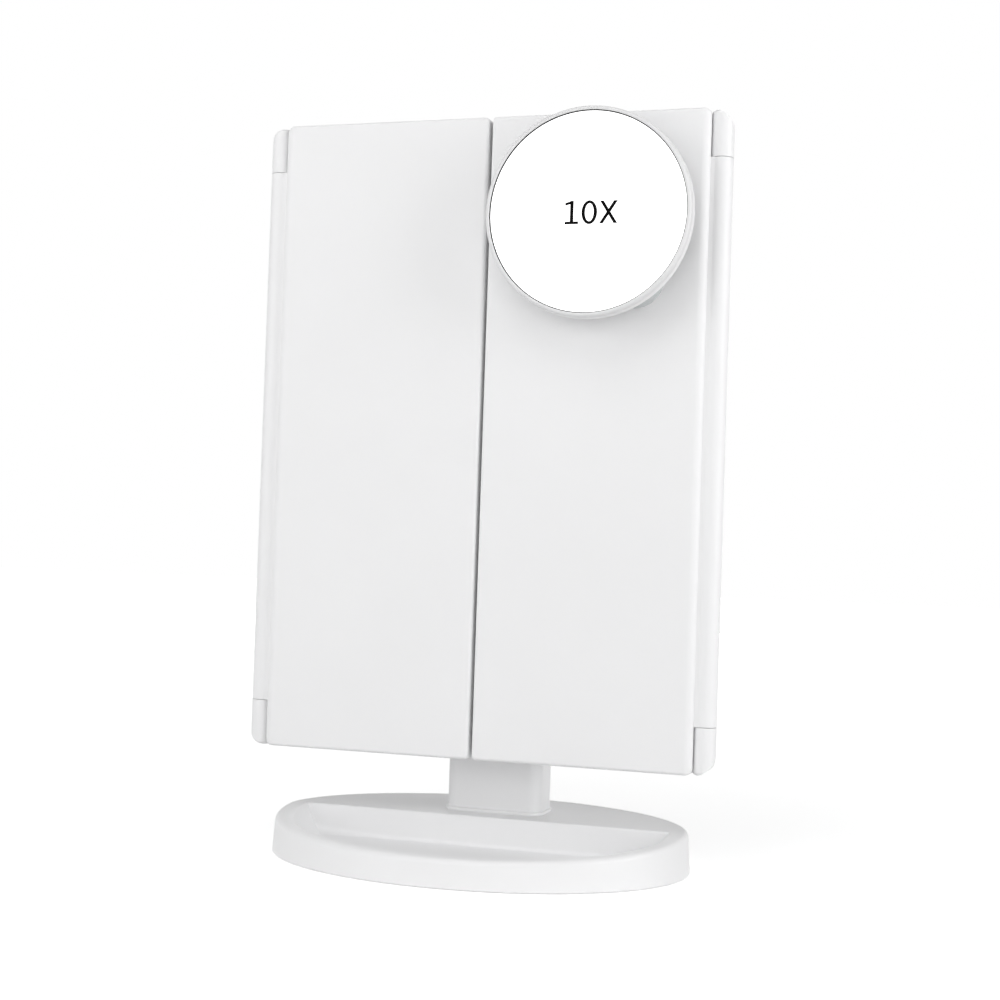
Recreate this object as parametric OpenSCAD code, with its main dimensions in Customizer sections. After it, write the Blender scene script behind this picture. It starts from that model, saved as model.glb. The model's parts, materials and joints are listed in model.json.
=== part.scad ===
// Trifold vanity mirror: a lighted middle mirror behind two folding leaves, on a tilting
// column with an oval tray base, and a round spot mirror held on the right leaf by suction cups.
// Origin: centre of the base on the table. +X viewer's right, the front faces -Y, +Z up.

/* [Panel] */
// Width over the hinge barrels
panel_w = 182; // [170:1:200]
// Height of the panel
panel_h = 240; // [225:1:260]
// Height of the panel's lower edge above the table
panel_lift = 38.8; // [34:0.2:50]
// Front face of the closed leaves, in front of the origin
leaf_face_y = -14.6; // [-18:0.1:-14]

/* [Leaves] */
// Thickness of a leaf
leaf_t = 9; // [8.6:0.1:10]
// Radius of a leaf's front edges and corners
leaf_edge_r = 1.2; // [0.8:0.1:1.6]
// Radius of the front edge beside the hinge
leaf_side_r = 3; // [2:0.1:3.4]
// Width by which a leaf laps over the corner knuckles, seen from the front
leaf_lap = 1; // [0.4:0.1:1.2]
// Wall of a leaf's outer cover
leaf_wall = 1.8; // [1.4:0.1:2]
// Gap between the two closed leaves
seam_gap = 1.2; // [0.8:0.1:2]
// Gap between the closed leaves and the middle frame
fold_gap = 1; // [0.8:0.1:2]
// Thickness of a leaf's inner frame
leaf_frame_t = 2.6; // [2.4:0.1:3]
// Border of the inner frame round its mirrors
leaf_border = 5; // [4:0.5:8]
// Bar between the two magnifying mirrors
mirror_bar = 3; // [2:0.5:6]
// Share of the left leaf's mirror height that the upper mirror takes
upper_share = 0.4; // [0.3:0.05:0.6]

/* [Leaf hinges] */
// Radius of the hinge barrels and knuckles
barrel_r = 4.2; // [3.8:0.1:4.3]
// Depth of the hinge axis behind the leaf face
hinge_depth = 5.4; // [5.2:0.1:5.8]
// Height of a corner knuckle
knuckle_h = 17.2; // [14:0.2:22]
// Drop of the upper knuckles below the leaves' upper edge
knuckle_drop = 0.5; // [0:0.1:1]
// Radius round a knuckle's outer end
knuckle_end_r = 1.6; // [0.8:0.1:2]
// Corner radius of a knuckle seen from the front
knuckle_corner_r = 7.4; // [4:0.2:8]
// Vertical gap between a knuckle and the barrel
knuckle_gap = 0.4; // [0.3:0.1:0.8]
// Gap between a leaf's side and a knuckle
side_gap = 0.8; // [0.6:0.1:1.2]
// Radius of a hinge pin
pin_r = 1.25; // [1:0.05:1.5]
// Length of a hinge pin inside the knuckle and inside the barrel
pin_grip = 10; // [8:0.5:12]
// Radial clearance of every turning fit
running_fit = 0.05; // [0.03:0.01:0.08]

/* [Middle mirror] */
// Half width that the middle frame leaves free beside the hinge axis
frame_inset = 1.8; // [1.6:0.1:2.4]
// Depth of the frame's skirt behind its front face
frame_depth = 6.6; // [6:0.2:8]
// Wall of the middle frame and of the rear housing
shell_wall = 2; // [1.6:0.1:2.4]
// Bezel between the frame's edge and the mirror glass
bezel = 4.5; // [4:0.5:8]
// Thickness of every mirror glass
glass_t = 1.6; // [1.4:0.1:1.8]
// Depth of the glass below the frame's face
glass_recess = 0.2; // [0.1:0.05:0.4]
// Ledge that the glass rests on
ledge = 3; // [2:0.5:4]
// Clearance round every glass pane
glass_fit = 0.2; // [0.1:0.05:0.3]
// Width of a light strip
strip_w = 9; // [7:0.5:12]
// Distance of a light strip from the glass edge
strip_inset = 5; // [4:0.5:8]
// LEDs on each strip
led_count = 12; // [8:1:14]

/* [Rear housing] */
// Depth of the rear housing behind the frame
housing_depth = 7; // [6.5:0.1:9]
// Radius of the rear edges
housing_edge_r = 4; // [2:0.5:5]
// Radius of an AA cell
cell_r = 7.1; // [7:0.05:7.2]
// Length of an AA cell without its nub
cell_l = 49; // [48.5:0.5:50]
// Room between two cells
cell_gap = 0.6; // [0.4:0.1:1]
// Height of the battery bay's lower end above the panel's lower edge
bay_lift = 136; // [125:1:150]
// Room at both cell ends for the contacts
contact_room = 4.5; // [4:0.5:6]
// Wall of the battery bay
bay_wall = 2; // [1.6:0.1:2.4]
// Radius of the bay's rear edges
bay_edge_r = 2; // [1.5:0.1:2]
// Clearance round the battery door
door_fit = 0.3; // [0.2:0.05:0.4]
// Height of switch and power inlet above the panel's lower edge
socket_lift = 22; // [18:1:28]
// Distance of switch and power inlet from the middle
socket_x = 46; // [40:1:52]
// Travel of the switch knob
switch_travel = 3; // [2:0.5:3.5]

/* [Tilt hinge] */
// Height of the tilt axis above the panel's lower edge
tilt_lift = 61; // [56:1:70]
// Radius of the tilt knuckle and its ears
tilt_r = 8.5; // [7.5:0.5:9]
// Length of the tilt knuckle
tilt_w = 24; // [20:1:28]
// Radius of the tilt axle
axle_r = 2.5; // [2:0.1:3]
// Thickness of an ear
ear_t = 8; // [7:0.5:9]
// Thickness of a friction washer
washer_t = 0.8; // [0.6:0.1:1]
// Flat gap between a washer and an ear
face_gap = 0.06; // [0.04:0.01:0.1]

/* [Column] */
// Width of the column
neck_w = 38; // [34:1:42]
// Depth of the column
neck_d = 20; // [18:0.5:22]
// Corner radius of the column
neck_r = 4.5; // [3:0.5:6]
// Bulge of the column's front
neck_crown = 0.8; // [0.4:0.1:1.2]
// Front of the column behind the origin
neck_y = 14.6; // [13:0.2:17]
// Wall of the column sleeve
neck_wall = 2; // [1.6:0.1:2.4]
// Width of the lip round the column's foot
foot_lip = 0.9; // [0.5:0.1:1.5]
// Height of that lip
foot_h = 1.2; // [0.8:0.1:2]

/* [Base] */
// Half length of the base at the table
base_a = 80.3; // [76:0.1:86]
// Half depth of the base at the table
base_b = 61; // [58:0.1:64]
// Height of the base
base_h = 15.4; // [14.5:0.1:18]
// Height of the rim at the front
rim_front_h = 10.2; // [9:0.1:12]
// Inward lean of the side from bottom to top
base_draft = 0.8; // [0.4:0.1:1.5]
// Radius of the upper outer edge
base_edge_r = 2; // [1:0.1:2.4]
// Gap under the shell's lower edge
base_clear = 0.3; // [0.2:0.1:0.6]
// Wall of the base shell
base_wall = 2.4; // [2:0.1:3]
// Straight rear edge of the tray, behind the origin
tray_back_y = 3.8; // [2:0.1:6]
// Height of the tray floor
tray_floor = 3.8; // [3.6:0.1:5]
// Width of the rim in front of the tray
rim_w = 5.5; // [4.5:0.1:8]
// Width of the rim at both ends of the tray
rim_end_w = 8.1; // [5:0.1:10]
// Slant of the tray's end walls, from the rim inwards to the floor
tray_end_lean = 4.5; // [0:0.1:6]
// Radius between tray floor and walls
tray_fillet = 1.4; // [1:0.2:3]
// Thickness of the non-slip pad
pad_t = 0.8; // [0.6:0.1:1]
// Thickness of the cover plate
plate_t = 1.4; // [1.2:0.1:1.6]
// Thickness of the steel ballast
ballast_t = 6; // [4:0.5:7]
// Distance of the outer base screws from the base's ends
outer_screw_inset = 28.3; // [26:0.1:32]
// Distance of the outer base screws behind the tray's rear edge
outer_screw_gap = 10.2; // [8:0.1:14]
// Distance of the rear base screws from the base's rear end
rear_screw_inset = 19; // [16:0.1:22]
// Distance of the rear base screws from the middle
rear_screw_x = 30; // [26:0.5:36]

/* [Spot mirror] */
// Outer radius of the spot mirror
spot_r = 38; // [32:0.5:40]
// Centre of the spot mirror to the right of the middle
spot_x = 42.6; // [40:0.2:44]
// Depth of its centre below the panel's upper edge
spot_drop = 40; // [38.5:0.5:50]
// Front face of the spot mirror in front of the leaf
spot_reach = 17; // [16:0.5:20]
// Depth of the spot mirror's housing
spot_depth = 8.5; // [7.5:0.5:9]
// Width of the rim round its glass
spot_lip = 1.7; // [1:0.1:2.2]
// Radius of a suction cup
cup_r = 11; // [9:0.5:11]
// Distance of the cups from the middle of the housing
cup_ring_r = 26.2; // [22:0.1:26.4]
// Suction cups
cup_count = 3; // [2:1:4]
// Direction of the first cup, below the horizontal
cup_angle = 56; // [0:1:90]

/* [Hidden] */
$fn = 64;
eps = 0.01;
white = "whitesmoke";

// Panel, front to back
panel_z0 = panel_lift;
panel_z1 = panel_lift + panel_h;
panel_mid_z = (panel_z0 + panel_z1) / 2;
leaf_back_y = leaf_face_y + leaf_t;
frame_y = leaf_back_y + fold_gap;
frame_back_y = frame_y + frame_depth;
housing_y = frame_back_y + housing_depth;
hinge_x = panel_w / 2 - barrel_r;
hinge_y = leaf_face_y + hinge_depth;
leaf_x0 = seam_gap / 2;
leaf_x1 = hinge_x - barrel_r + leaf_lap;
leaf_w = leaf_x1 - leaf_x0;
leaf_mid_x = leaf_x0 + leaf_w / 2;
leaf_shell_t = leaf_t - leaf_frame_t;
knuckle_low_z = panel_z0 + knuckle_h;
knuckle_high_z = panel_z1 - knuckle_drop - knuckle_h;
barrel_z0 = knuckle_low_z + knuckle_gap;
barrel_z1 = knuckle_high_z - knuckle_gap;
frame_w = 2 * (hinge_x - frame_inset);
frame_r = 6;
glass_y = frame_y + glass_recess;
glass_w = frame_w - 2 * bezel;
glass_h = panel_h - 2 * bezel;
glass_back_y = glass_y + glass_t;
ledge_t = 1.2;
strip_x = glass_w / 2 - strip_inset - strip_w / 2;
strip_h = glass_h - 4 * strip_inset;
diffuser_t = 1.4;
board_t = 1.2;
board_y = frame_back_y - board_t;
control_w = 2 * socket_x - 24;
control_h = 24;
sensor_r = 7;
led_t = 0.8;
led_w = 2.8;

// Inner frames of the leaves. A pane is [middle height, height]
leaf_frame_side = 1.4;
leaf_frame_w = leaf_w - 0.2 - leaf_frame_side;
leaf_frame_h = panel_h - 1.2;
leaf_frame_mid_x = leaf_x0 + 0.2 + leaf_frame_w / 2;
leaf_glass_w = leaf_frame_w - 2 * leaf_border;
leaf_glass_h = leaf_frame_h - 2 * leaf_border;
leaf_glass_y = leaf_back_y - glass_recess;
hollow_inset = leaf_wall + 1.5;
tongue_t = 2;
tongue_fit = 0.2;
tongue_wall = 2;
magnet_r = 1.6;
magnet_t = 1.4;
magnet_x = leaf_x0 + 2.8;
whole_pane = [panel_mid_z, leaf_glass_h];
upper_h = (leaf_glass_h - mirror_bar) * upper_share;
lower_h = leaf_glass_h - mirror_bar - upper_h;
upper_pane = [panel_mid_z + leaf_glass_h / 2 - upper_h / 2, upper_h];
lower_pane = [panel_mid_z - leaf_glass_h / 2 + lower_h / 2, lower_h];

// Screws: shank radius, head radius, head height
screw_r = 1.2;
screw_head_r = 2.5;
screw_head_t = 1.5;
boss_r = 3;
boss_inset = 9;
boss_x = frame_w / 2 - shell_wall - boss_r - 1;
boss_zs = [panel_z0 + boss_inset, panel_mid_z, panel_z1 - boss_inset];

// Battery bay
cell_pitch = 2 * cell_r + cell_gap;
cell_count = 4;
bay_w = cell_count * cell_pitch + cell_gap;
bay_l = cell_l + 2 * contact_room;
bay_z0 = panel_z0 + bay_lift;
bay_mid_z = bay_z0 + bay_l / 2;
bay_floor_y = frame_back_y + 2;
cell_y = bay_floor_y + cell_gap + cell_r;
door_y = cell_y + cell_r + cell_gap;
door_t = 2;
bay_back_y = door_y + door_t;
cell_nub_r = 2.7;
cell_nub_t = 1.5;
contact_plate_w = 1.4 * cell_r;
door_w = bay_w + 2 * (bay_wall - 1);
door_l = bay_l + 2 * (bay_wall - 1);

// Tilt hinge
neck_mid_y = neck_y + neck_d / 2;
tilt_y = neck_mid_y;
tilt_z = panel_z0 + tilt_lift;
ear_x = tilt_w / 2 + washer_t + face_gap;
ear_end_x = ear_x + ear_t;
ear_web = 3.6;
bracket_t = 2;
bracket_h = 2 * tilt_r + 12;
bracket_w = 2 * ear_end_x + 20;
bracket_hole_x = bracket_w / 2 - 5;
bracket_hole_z = bracket_h / 2 - 5;
nut_r = 4.2;
nut_t = 2;
spring_t = 1.2;
cap_r = 5.4;
cap_t = 1;
axle_head_t = 1.8;

// Column
core_w = tilt_w;
core_d = neck_d - 2 * neck_wall - 4;
core_foot_t = 5;
sleeve_top = tilt_z - tilt_r - 3.5;
neck_screw_x = core_w / 2 - 5;

// Base
oval_steps = 96;
tray_steps = 56;
tray_draft = 0.8;
plate_z = pad_t;
ballast_z = pad_t + plate_t;
deck_t = 2;
dip_angle = atan((base_h - rim_front_h) / (base_b - base_draft + tray_back_y));
base_screws_at = [for (x = [-1, 1], row = [
        [base_a - outer_screw_inset, tray_back_y + outer_screw_gap],
        [rear_screw_x, base_b - rear_screw_inset]
    ])
    [x * row[0], row[1]]];
screw_pocket_t = plate_t - 0.6;

// Spot mirror
spot_z = panel_z1 - spot_drop;
spot_face_y = leaf_face_y - spot_reach;
spot_back_y = spot_face_y + spot_depth;
spot_rim_t = 3;
spot_glass_r = spot_r - spot_lip;
stud_r = 2.4;
cup_t = leaf_face_y - spot_back_y;

// ---------- shared shapes ----------

// Rectangle with round corners, centred
module rounded_rect(w, h, r) {
    square([w - 2 * r, h], center = true);
    square([w, h - 2 * r], center = true);
    for (x = [-1, 1], y = [-1, 1])
        translate([x * (w / 2 - r), y * (h / 2 - r)])
            circle(r);
}

// Raises a drawing in X and Z from depth y0 to depth y1
module upright(y0, y1) {
    translate([0, y1, 0])
        rotate([90, 0, 0])
            linear_extrude(y1 - y0)
                children();
}

// Cylinder along Y from depth y0 to depth y1
module peg(r, y0, y1) {
    upright(y0, y1)
        circle(r);
}

// Cylinder along X from x0 to x1
module bar(r, x0, x1) {
    translate([x0, 0, 0])
        rotate([0, 90, 0])
            cylinder(r = r, h = x1 - x0);
}

// Plate in X and Z, centred, t deep from y = 0 back, with its front edges rolled over
module rolled_plate(w, h, t, r) {
    intersection() {
        union() {
            upright(r, t)
                rounded_rect(w, h, r);
            translate([-w / 2 + r, 0, -h / 2 + r])
                cube([w - 2 * r, t, h - 2 * r]);
            for (z = [-1, 1])
                translate([-w / 2 + r, r, z * (h / 2 - r)])
                    rotate([0, 90, 0])
                        cylinder(r = r, h = w - 2 * r);
            for (x = [-1, 1])
                translate([x * (w / 2 - r), r, -h / 2 + r])
                    cylinder(r = r, h = h - 2 * r);
            for (x = [-1, 1], z = [-1, 1])
                translate([x * (w / 2 - r), r, z * (h / 2 - r)])
                    sphere(r);
        }
        translate([-w, -t, -h])
            cube([2 * w, 2 * t, 2 * h]);
    }
}

// Screw along -Y with its head's outer face at y = 0
module screw_y(length) {
    peg(screw_head_r, -screw_head_t, 0);
    peg(screw_r, -length, -screw_head_t + eps);
}

// Screw pointing up with its head's lower face at z = 0
module screw_up(length) {
    cylinder(r = screw_head_r, h = screw_head_t);
    translate([0, 0, screw_head_t - eps])
        cylinder(r = screw_r, h = length - screw_head_t);
}

// ---------- base ----------

// Point of the base's oval at turn t, moved inwards by d
function oval_point(t, d) = [(base_a - d) * cos(t), (base_b - d) * sin(t)];

// Oval outline, moved inwards by d
module oval(d = 0) {
    polygon([for (i = [0 : oval_steps - 1]) oval_point((i + 0.5) * 360 / oval_steps, d)]);
}

// Height of the deck and of the rim line, which falls in front of the tray's rear edge
function rim_z(y) = base_h - max(0, tray_back_y - y) * tan(dip_angle);

// Body of the base: leaning side and rounded upper edge, which follow the rim line.
// Each layer is [inward step, height above the table or depth below the rim line]
module base_body() {
    n = oval_steps;
    layers = concat(
        [[0, base_clear, false]],
        [for (a = [0 : 22.5 : 90])
            [base_draft + base_edge_r * (1 - cos(a)), base_edge_r * (sin(a) - 1), true]]
    );
    count = len(layers);
    points = [for (layer = layers, i = [0 : n - 1])
        let (p = oval_point((i + 0.5) * 360 / n, layer[0]),
            z = layer[2] ? rim_z(p[1]) + layer[1] : layer[1])
            [p[0], p[1], z]];
    sides = [for (k = [0 : count - 2], i = [0 : n - 1], half = [0, 1])
        let (j = (i + 1) % n, lower = k * n, upper = (k + 1) * n)
            half == 0 ? [lower + i, upper + i, lower + j] : [lower + j, upper + i, upper + j]];
    polyhedron(points, concat(sides, oval_cap(0, true), oval_cap((count - 1) * n, false)));
}

// Triangles that close an oval ring with strips across X
function oval_cap(first, down) =
    let (n = oval_steps, q = n / 4)
        [for (i = [0 : n / 2 - 2], half = [0, 1])
            let (r0 = first + (3 * q + i) % n, r1 = first + (3 * q + i + 1) % n,
                l0 = first + (3 * q - 1 - i + n) % n, l1 = first + (3 * q - 2 - i + n) % n,
                t = half == 0 ? [r0, l0, r1] : [r1, l0, l1])
                down ? [t[0], t[2], t[1]] : t];

// Inward step of the tray's end walls at height z
function end_lean(z) = tray_end_lean * (base_h - z) / (base_h - tray_floor);

// Outline of the tray at height z, moved inwards by d: the oval's front part and a straight
// rear edge
function tray_outline(d, z) =
    let (a = base_a - rim_end_w - end_lean(z) - d, b = base_b - rim_w - d, y = tray_back_y - d,
        start = 180 - asin(y / b), sweep = 180 + 2 * asin(y / b))
        [for (i = [0 : tray_steps])
            [a * cos(start + sweep * i / tray_steps), b * sin(start + sweep * i / tray_steps)]];

// Room of the tray: flat floor, round corner, leaning wall and slanting ends
module tray_space() {
    n = tray_steps + 1;
    layers = concat(
        [for (a = [0 : 22.5 : 90])
            [tray_fillet * (1 - sin(a)), tray_floor + tray_fillet * (1 - cos(a))]],
        [[-tray_draft, base_h + tray_fillet]]
    );
    count = len(layers);
    points = [for (layer = layers, p = tray_outline(layer[0], layer[1]))
        [p[0], p[1], layer[1]]];
    sides = [for (k = [0 : count - 2], i = [0 : n - 1], half = [0, 1])
        let (j = (i + 1) % n, lower = k * n, upper = (k + 1) * n)
            half == 0 ? [lower + i, upper + i, lower + j] : [lower + j, upper + i, upper + j]];
    floor_face = [for (i = [0 : n - 1]) i];
    top_face = [for (i = [0 : n - 1]) count * n - 1 - i];
    polyhedron(points, concat(sides, [floor_face, top_face]));
}

module base_tray() {
    color(white)
    difference() {
        base_body();
        tray_space();
        // pocket for the pad and the plate
        linear_extrude(ballast_z)
            oval(base_wall);
        // room over the ballast, behind the tray, round the screw bosses
        difference() {
            translate([0, 0, base_clear])
                linear_extrude(base_h - deck_t - base_clear)
                    intersection() {
                        oval(base_wall + base_draft);
                        translate([-base_a, tray_back_y + base_wall])
                            square([2 * base_a, base_b]);
                    }
            for (p = base_screws_at)
                translate([p[0], p[1], ballast_z])
                    cylinder(r = boss_r, h = base_h);
        }
        for (p = base_screws_at)
            translate([p[0], p[1], 0])
                cylinder(r = screw_r, h = ballast_z + 2.5);
        for (x = [-1, 1])
            translate([x * neck_screw_x, neck_mid_y, 0])
                cylinder(r = screw_r + 0.2, h = base_h + 1);
    }
}

module base_plate() {
    color("gainsboro")
    difference() {
        translate([0, 0, plate_z])
            linear_extrude(plate_t)
                oval(base_wall + door_fit);
        for (p = base_screws_at)
            translate([p[0], p[1], 0]) {
                cylinder(r = screw_r + 0.2, h = base_h);
                cylinder(r = screw_head_r + 0.2, h = plate_z + screw_pocket_t);
            }
    }
}

module base_pad() {
    color("dimgray")
        linear_extrude(pad_t)
            oval(base_wall + 1);
}

module base_weight() {
    color("slategray")
    difference() {
        translate([0, 0, ballast_z])
            linear_extrude(ballast_t)
                intersection() {
                    oval(base_wall + base_draft + 2);
                    translate([-base_a, tray_back_y + base_wall + 1])
                        square([2 * base_a, base_b]);
                }
        // room for the column's screws and for the bosses
        translate([-core_w / 2 - 2, neck_mid_y - 6, 0])
            cube([core_w + 4, 12, base_h]);
        for (p = base_screws_at)
            translate([p[0], p[1], 0])
                cylinder(r = boss_r + 1, h = base_h);
    }
}

module base_screws() {
    color("silver")
    for (p = base_screws_at)
        translate([p[0], p[1], plate_z])
            base_screw();
}

// Countersunk short screw, flush with the plate
module base_screw() {
    cylinder(r = screw_head_r, h = screw_pocket_t);
    cylinder(r = screw_r, h = plate_t + 2);
}

// ---------- column ----------

// Section of the column, grown by d, with a slightly bulged front
module neck_section(d = 0) {
    crown_r = pow(neck_w / 2, 2) / (2 * neck_crown);
    translate([0, neck_mid_y])
        intersection() {
            rounded_rect(neck_w + 2 * d, neck_d + 2 * d, max(neck_r + d, 0.5));
            translate([0, crown_r - neck_d / 2 - d])
                circle(crown_r, $fn = 512);
        }
}

module neck_sleeve() {
    color(white)
    difference() {
        union() {
            translate([0, 0, base_h])
                linear_extrude(sleeve_top - base_h)
                    neck_section();
            translate([0, 0, base_h])
                linear_extrude(foot_h)
                    neck_section(foot_lip);
        }
        translate([0, 0, base_h - eps])
            linear_extrude(sleeve_top - neck_wall - base_h)
                neck_section(-neck_wall);
        translate([-core_w / 2 - 0.2, neck_mid_y - core_d / 2 - 0.2, 0])
            cube([core_w + 0.4, core_d + 0.4, sleeve_top + 1]);
    }
}

module neck_core() {
    color("lightgray")
    difference() {
        union() {
            translate([-core_w / 2, neck_mid_y - core_d / 2, base_h])
                cube([core_w, core_d, tilt_z - base_h]);
            core_foot();
            translate([0, tilt_y, tilt_z])
                bar(tilt_r, -tilt_w / 2, tilt_w / 2);
        }
        translate([0, tilt_y, tilt_z])
            bar(axle_r + running_fit, -tilt_w, tilt_w);
        for (x = [-1, 1])
            translate([x * neck_screw_x, neck_mid_y, 0])
                cylinder(r = screw_r, h = base_h + 14);
    }
}

// Foot of the post, filling the sleeve
module core_foot() {
    translate([0, 0, base_h])
        linear_extrude(core_foot_t)
            neck_section(-neck_wall - 0.1);
}

module neck_screws() {
    color("silver")
    for (x = [-1, 1])
        translate([x * neck_screw_x, neck_mid_y, base_h - deck_t - screw_head_t])
            screw_up(deck_t + screw_head_t + 12);
}

module friction_washers() {
    color("black")
    for (side = [-1, 1])
        translate([side * (tilt_w + washer_t) / 2, tilt_y, tilt_z])
            difference() {
                bar(tilt_r - 0.5, -washer_t / 2, washer_t / 2);
                bar(axle_r + running_fit, -washer_t, washer_t);
            }
}

// ---------- tilt hinge on the panel ----------

module tilt_bracket() {
    color(white)
    difference() {
        union() {
            translate([0, 0, tilt_z])
                upright(housing_y, housing_y + bracket_t)
                    rounded_rect(bracket_w, bracket_h, 4);
            for (side = [-1, 1])
                mirror([side < 0 ? 1 : 0, 0, 0])
                    ear();
        }
        translate([0, tilt_y, tilt_z])
            bar(axle_r, -panel_w, panel_w);
        for (side = [-1, 1])
            mirror([side < 0 ? 1 : 0, 0, 0])
                translate([0, tilt_y, tilt_z])
                    bar(cap_r, ear_x + ear_web, ear_end_x + 1);
        for (x = [-1, 1], z = [-1, 1])
            translate([x * bracket_hole_x, 0, tilt_z + z * bracket_hole_z])
                peg(screw_r + 0.2, housing_y - eps, housing_y + bracket_t + eps);
    }
}

module ear() {
    translate([0, tilt_y, tilt_z])
        bar(tilt_r, ear_x, ear_end_x);
    translate([ear_x, housing_y, tilt_z - tilt_r])
        cube([ear_t, tilt_y - housing_y, 2 * tilt_r]);
}

module bracket_screws() {
    color("silver")
    for (x = [-1, 1], z = [-1, 1])
        translate([x * bracket_hole_x, housing_y + bracket_t + screw_head_t,
                tilt_z + z * bracket_hole_z])
            screw_y(screw_head_t + bracket_t + shell_wall + 2);
}

module tilt_axle() {
    head_x = ear_x + ear_web;
    color("silver")
    translate([0, tilt_y, tilt_z]) {
        bar(axle_r, -head_x, head_x + spring_t + nut_t);
        bar(nut_r, -head_x - axle_head_t, -head_x + eps);
    }
}

module axle_nut() {
    x0 = ear_x + ear_web + spring_t;
    color("gray")
    translate([x0, tilt_y, tilt_z])
        difference() {
            rotate([0, 90, 0])
                cylinder(r = nut_r, h = nut_t, $fn = 6);
            bar(axle_r, -1, nut_t + 1);
        }
}

module spring_washers() {
    color("dimgray")
    translate([ear_x + ear_web, tilt_y, tilt_z])
        rotate([0, 90, 0])
            rotate_extrude()
                polygon([
                    [axle_r, spring_t / 2], [nut_r, 0], [nut_r, spring_t / 2],
                    [axle_r, spring_t]
                ]);
}

module axle_caps() {
    color(white)
    for (side = [-1, 1])
        mirror([side < 0 ? 1 : 0, 0, 0])
            translate([0, tilt_y, tilt_z])
                bar(cap_r, ear_end_x - cap_t, ear_end_x);
}

// ---------- middle mirror ----------

// Corner knuckle of the right side's upper corner, with the web that joins it to the frame
module knuckle_blank() {
    foot_x = frame_w / 2 - 4;
    intersection() {
        union() {
            translate([hinge_x, hinge_y, panel_z0])
                round_post(barrel_r, panel_h - knuckle_drop, knuckle_end_r);
            translate([0, 0, panel_z0])
                linear_extrude(panel_h)
                    polygon([
                        [hinge_x - 2.8, hinge_y], [hinge_x + barrel_r - 0.02, hinge_y],
                        [hinge_x + barrel_r - 1.4, frame_y], [frame_w / 2, frame_y + 5],
                        [foot_x, frame_y + 5], [foot_x, frame_y],
                        [hinge_x - 2.8, frame_y]
                    ]);
        }
        // round outer corner, seen from the front
        translate([0, 0, panel_mid_z - knuckle_drop / 2])
            upright(hinge_y - 2 * barrel_r, frame_y + 6)
                rounded_rect(panel_w, panel_h - knuckle_drop, knuckle_corner_r);
    }
}

// Upright post whose ends are rounded by e
module round_post(r, h, e) {
    rotate_extrude() {
        square([r - e, h]);
        translate([0, e])
            square([r, h - 2 * e]);
        for (z = [e, h - e])
            translate([r - e, z])
                circle(e);
    }
}

module knuckle(z0, z1) {
    difference() {
        intersection() {
            knuckle_blank();
            translate([0, -panel_w / 2, z0])
                cube([panel_w, panel_w, z1 - z0]);
        }
        translate([hinge_x, hinge_y, z0 > panel_mid_z ? z0 - eps : z1 - pin_grip])
            cylinder(r = pin_r, h = pin_grip + eps);
    }
}

module centre_frame() {
    color(white) {
        difference() {
            translate([0, 0, panel_mid_z])
                upright(frame_y, frame_back_y)
                    rounded_rect(frame_w, panel_h, frame_r);
            // seat for the glass
            translate([0, 0, panel_mid_z])
                upright(frame_y - eps, glass_back_y)
                    square([glass_w + 2 * glass_fit, glass_h + 2 * glass_fit], center = true);
            translate([0, 0, panel_mid_z])
                upright(frame_y - eps, frame_back_y + eps)
                    square([glass_w - 2 * ledge, glass_h - 2 * ledge], center = true);
            // hollow behind the ledge
            translate([0, 0, panel_mid_z])
                upright(glass_back_y + ledge_t, frame_back_y + eps)
                    rounded_rect(frame_w - 2 * shell_wall, panel_h - 2 * shell_wall,
                        frame_r - shell_wall);
        }
        for (side = [0, 1])
            mirror([side, 0, 0]) {
                knuckle(panel_z0, knuckle_low_z);
                knuckle(knuckle_high_z, panel_z1 - knuckle_drop);
                for (z = boss_zs)
                    translate([boss_x, 0, z])
                        frame_boss();
            }
    }
}

// Boss for a housing screw, on the back of the ledge
module frame_boss() {
    difference() {
        peg(boss_r, glass_back_y + ledge_t - eps, frame_back_y);
        peg(screw_r, glass_back_y + ledge_t + 1, frame_back_y + eps);
    }
}

module centre_mirror() {
    color("lightblue")
    translate([0, 0, panel_mid_z])
        upright(glass_y, glass_back_y)
            square([glass_w, glass_h], center = true);
}

module light_diffusers() {
    color("white")
    for (x = [-1, 1])
        translate([x * strip_x, 0, panel_mid_z])
            upright(glass_back_y, glass_back_y + diffuser_t)
                square([strip_w, strip_h], center = true);
}

module led_boards() {
    color("seagreen")
    for (x = [-1, 1])
        translate([x * strip_x, 0, panel_mid_z])
            upright(board_y, board_y + board_t)
                square([strip_w - 1, strip_h - 4], center = true);
}

module leds() {
    led_pitch = (strip_h - 4) / led_count;
    color("khaki")
    for (x = [-1, 1], i = [0 : led_count - 1])
        translate([x * strip_x, 0, panel_mid_z + (i - (led_count - 1) / 2) * led_pitch])
            upright(board_y - led_t, board_y)
                square(led_w, center = true);
}

module touch_sensor() {
    color("goldenrod")
    translate([0, 0, panel_z0 + socket_lift]) {
        peg(sensor_r, glass_back_y, glass_back_y + 0.6);
        peg(1, glass_back_y, frame_back_y + 0.6);
    }
}

module control_board() {
    color("seagreen")
    translate([0, 0, panel_z0 + socket_lift])
        upright(frame_back_y + 0.6, frame_back_y + 0.6 + board_t)
            square([control_w, control_h], center = true);
}

// ---------- rear housing ----------

module housing_shell() {
    difference() {
        translate([0, housing_y, panel_mid_z])
            rotate([0, 0, 180])
                rolled_plate(frame_w, panel_h, housing_depth, housing_edge_r);
        translate([0, 0, panel_mid_z])
            upright(frame_back_y - eps, housing_y - shell_wall)
                rounded_rect(frame_w - 2 * housing_edge_r, panel_h - 2 * housing_edge_r, 1);
    }
}

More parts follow.
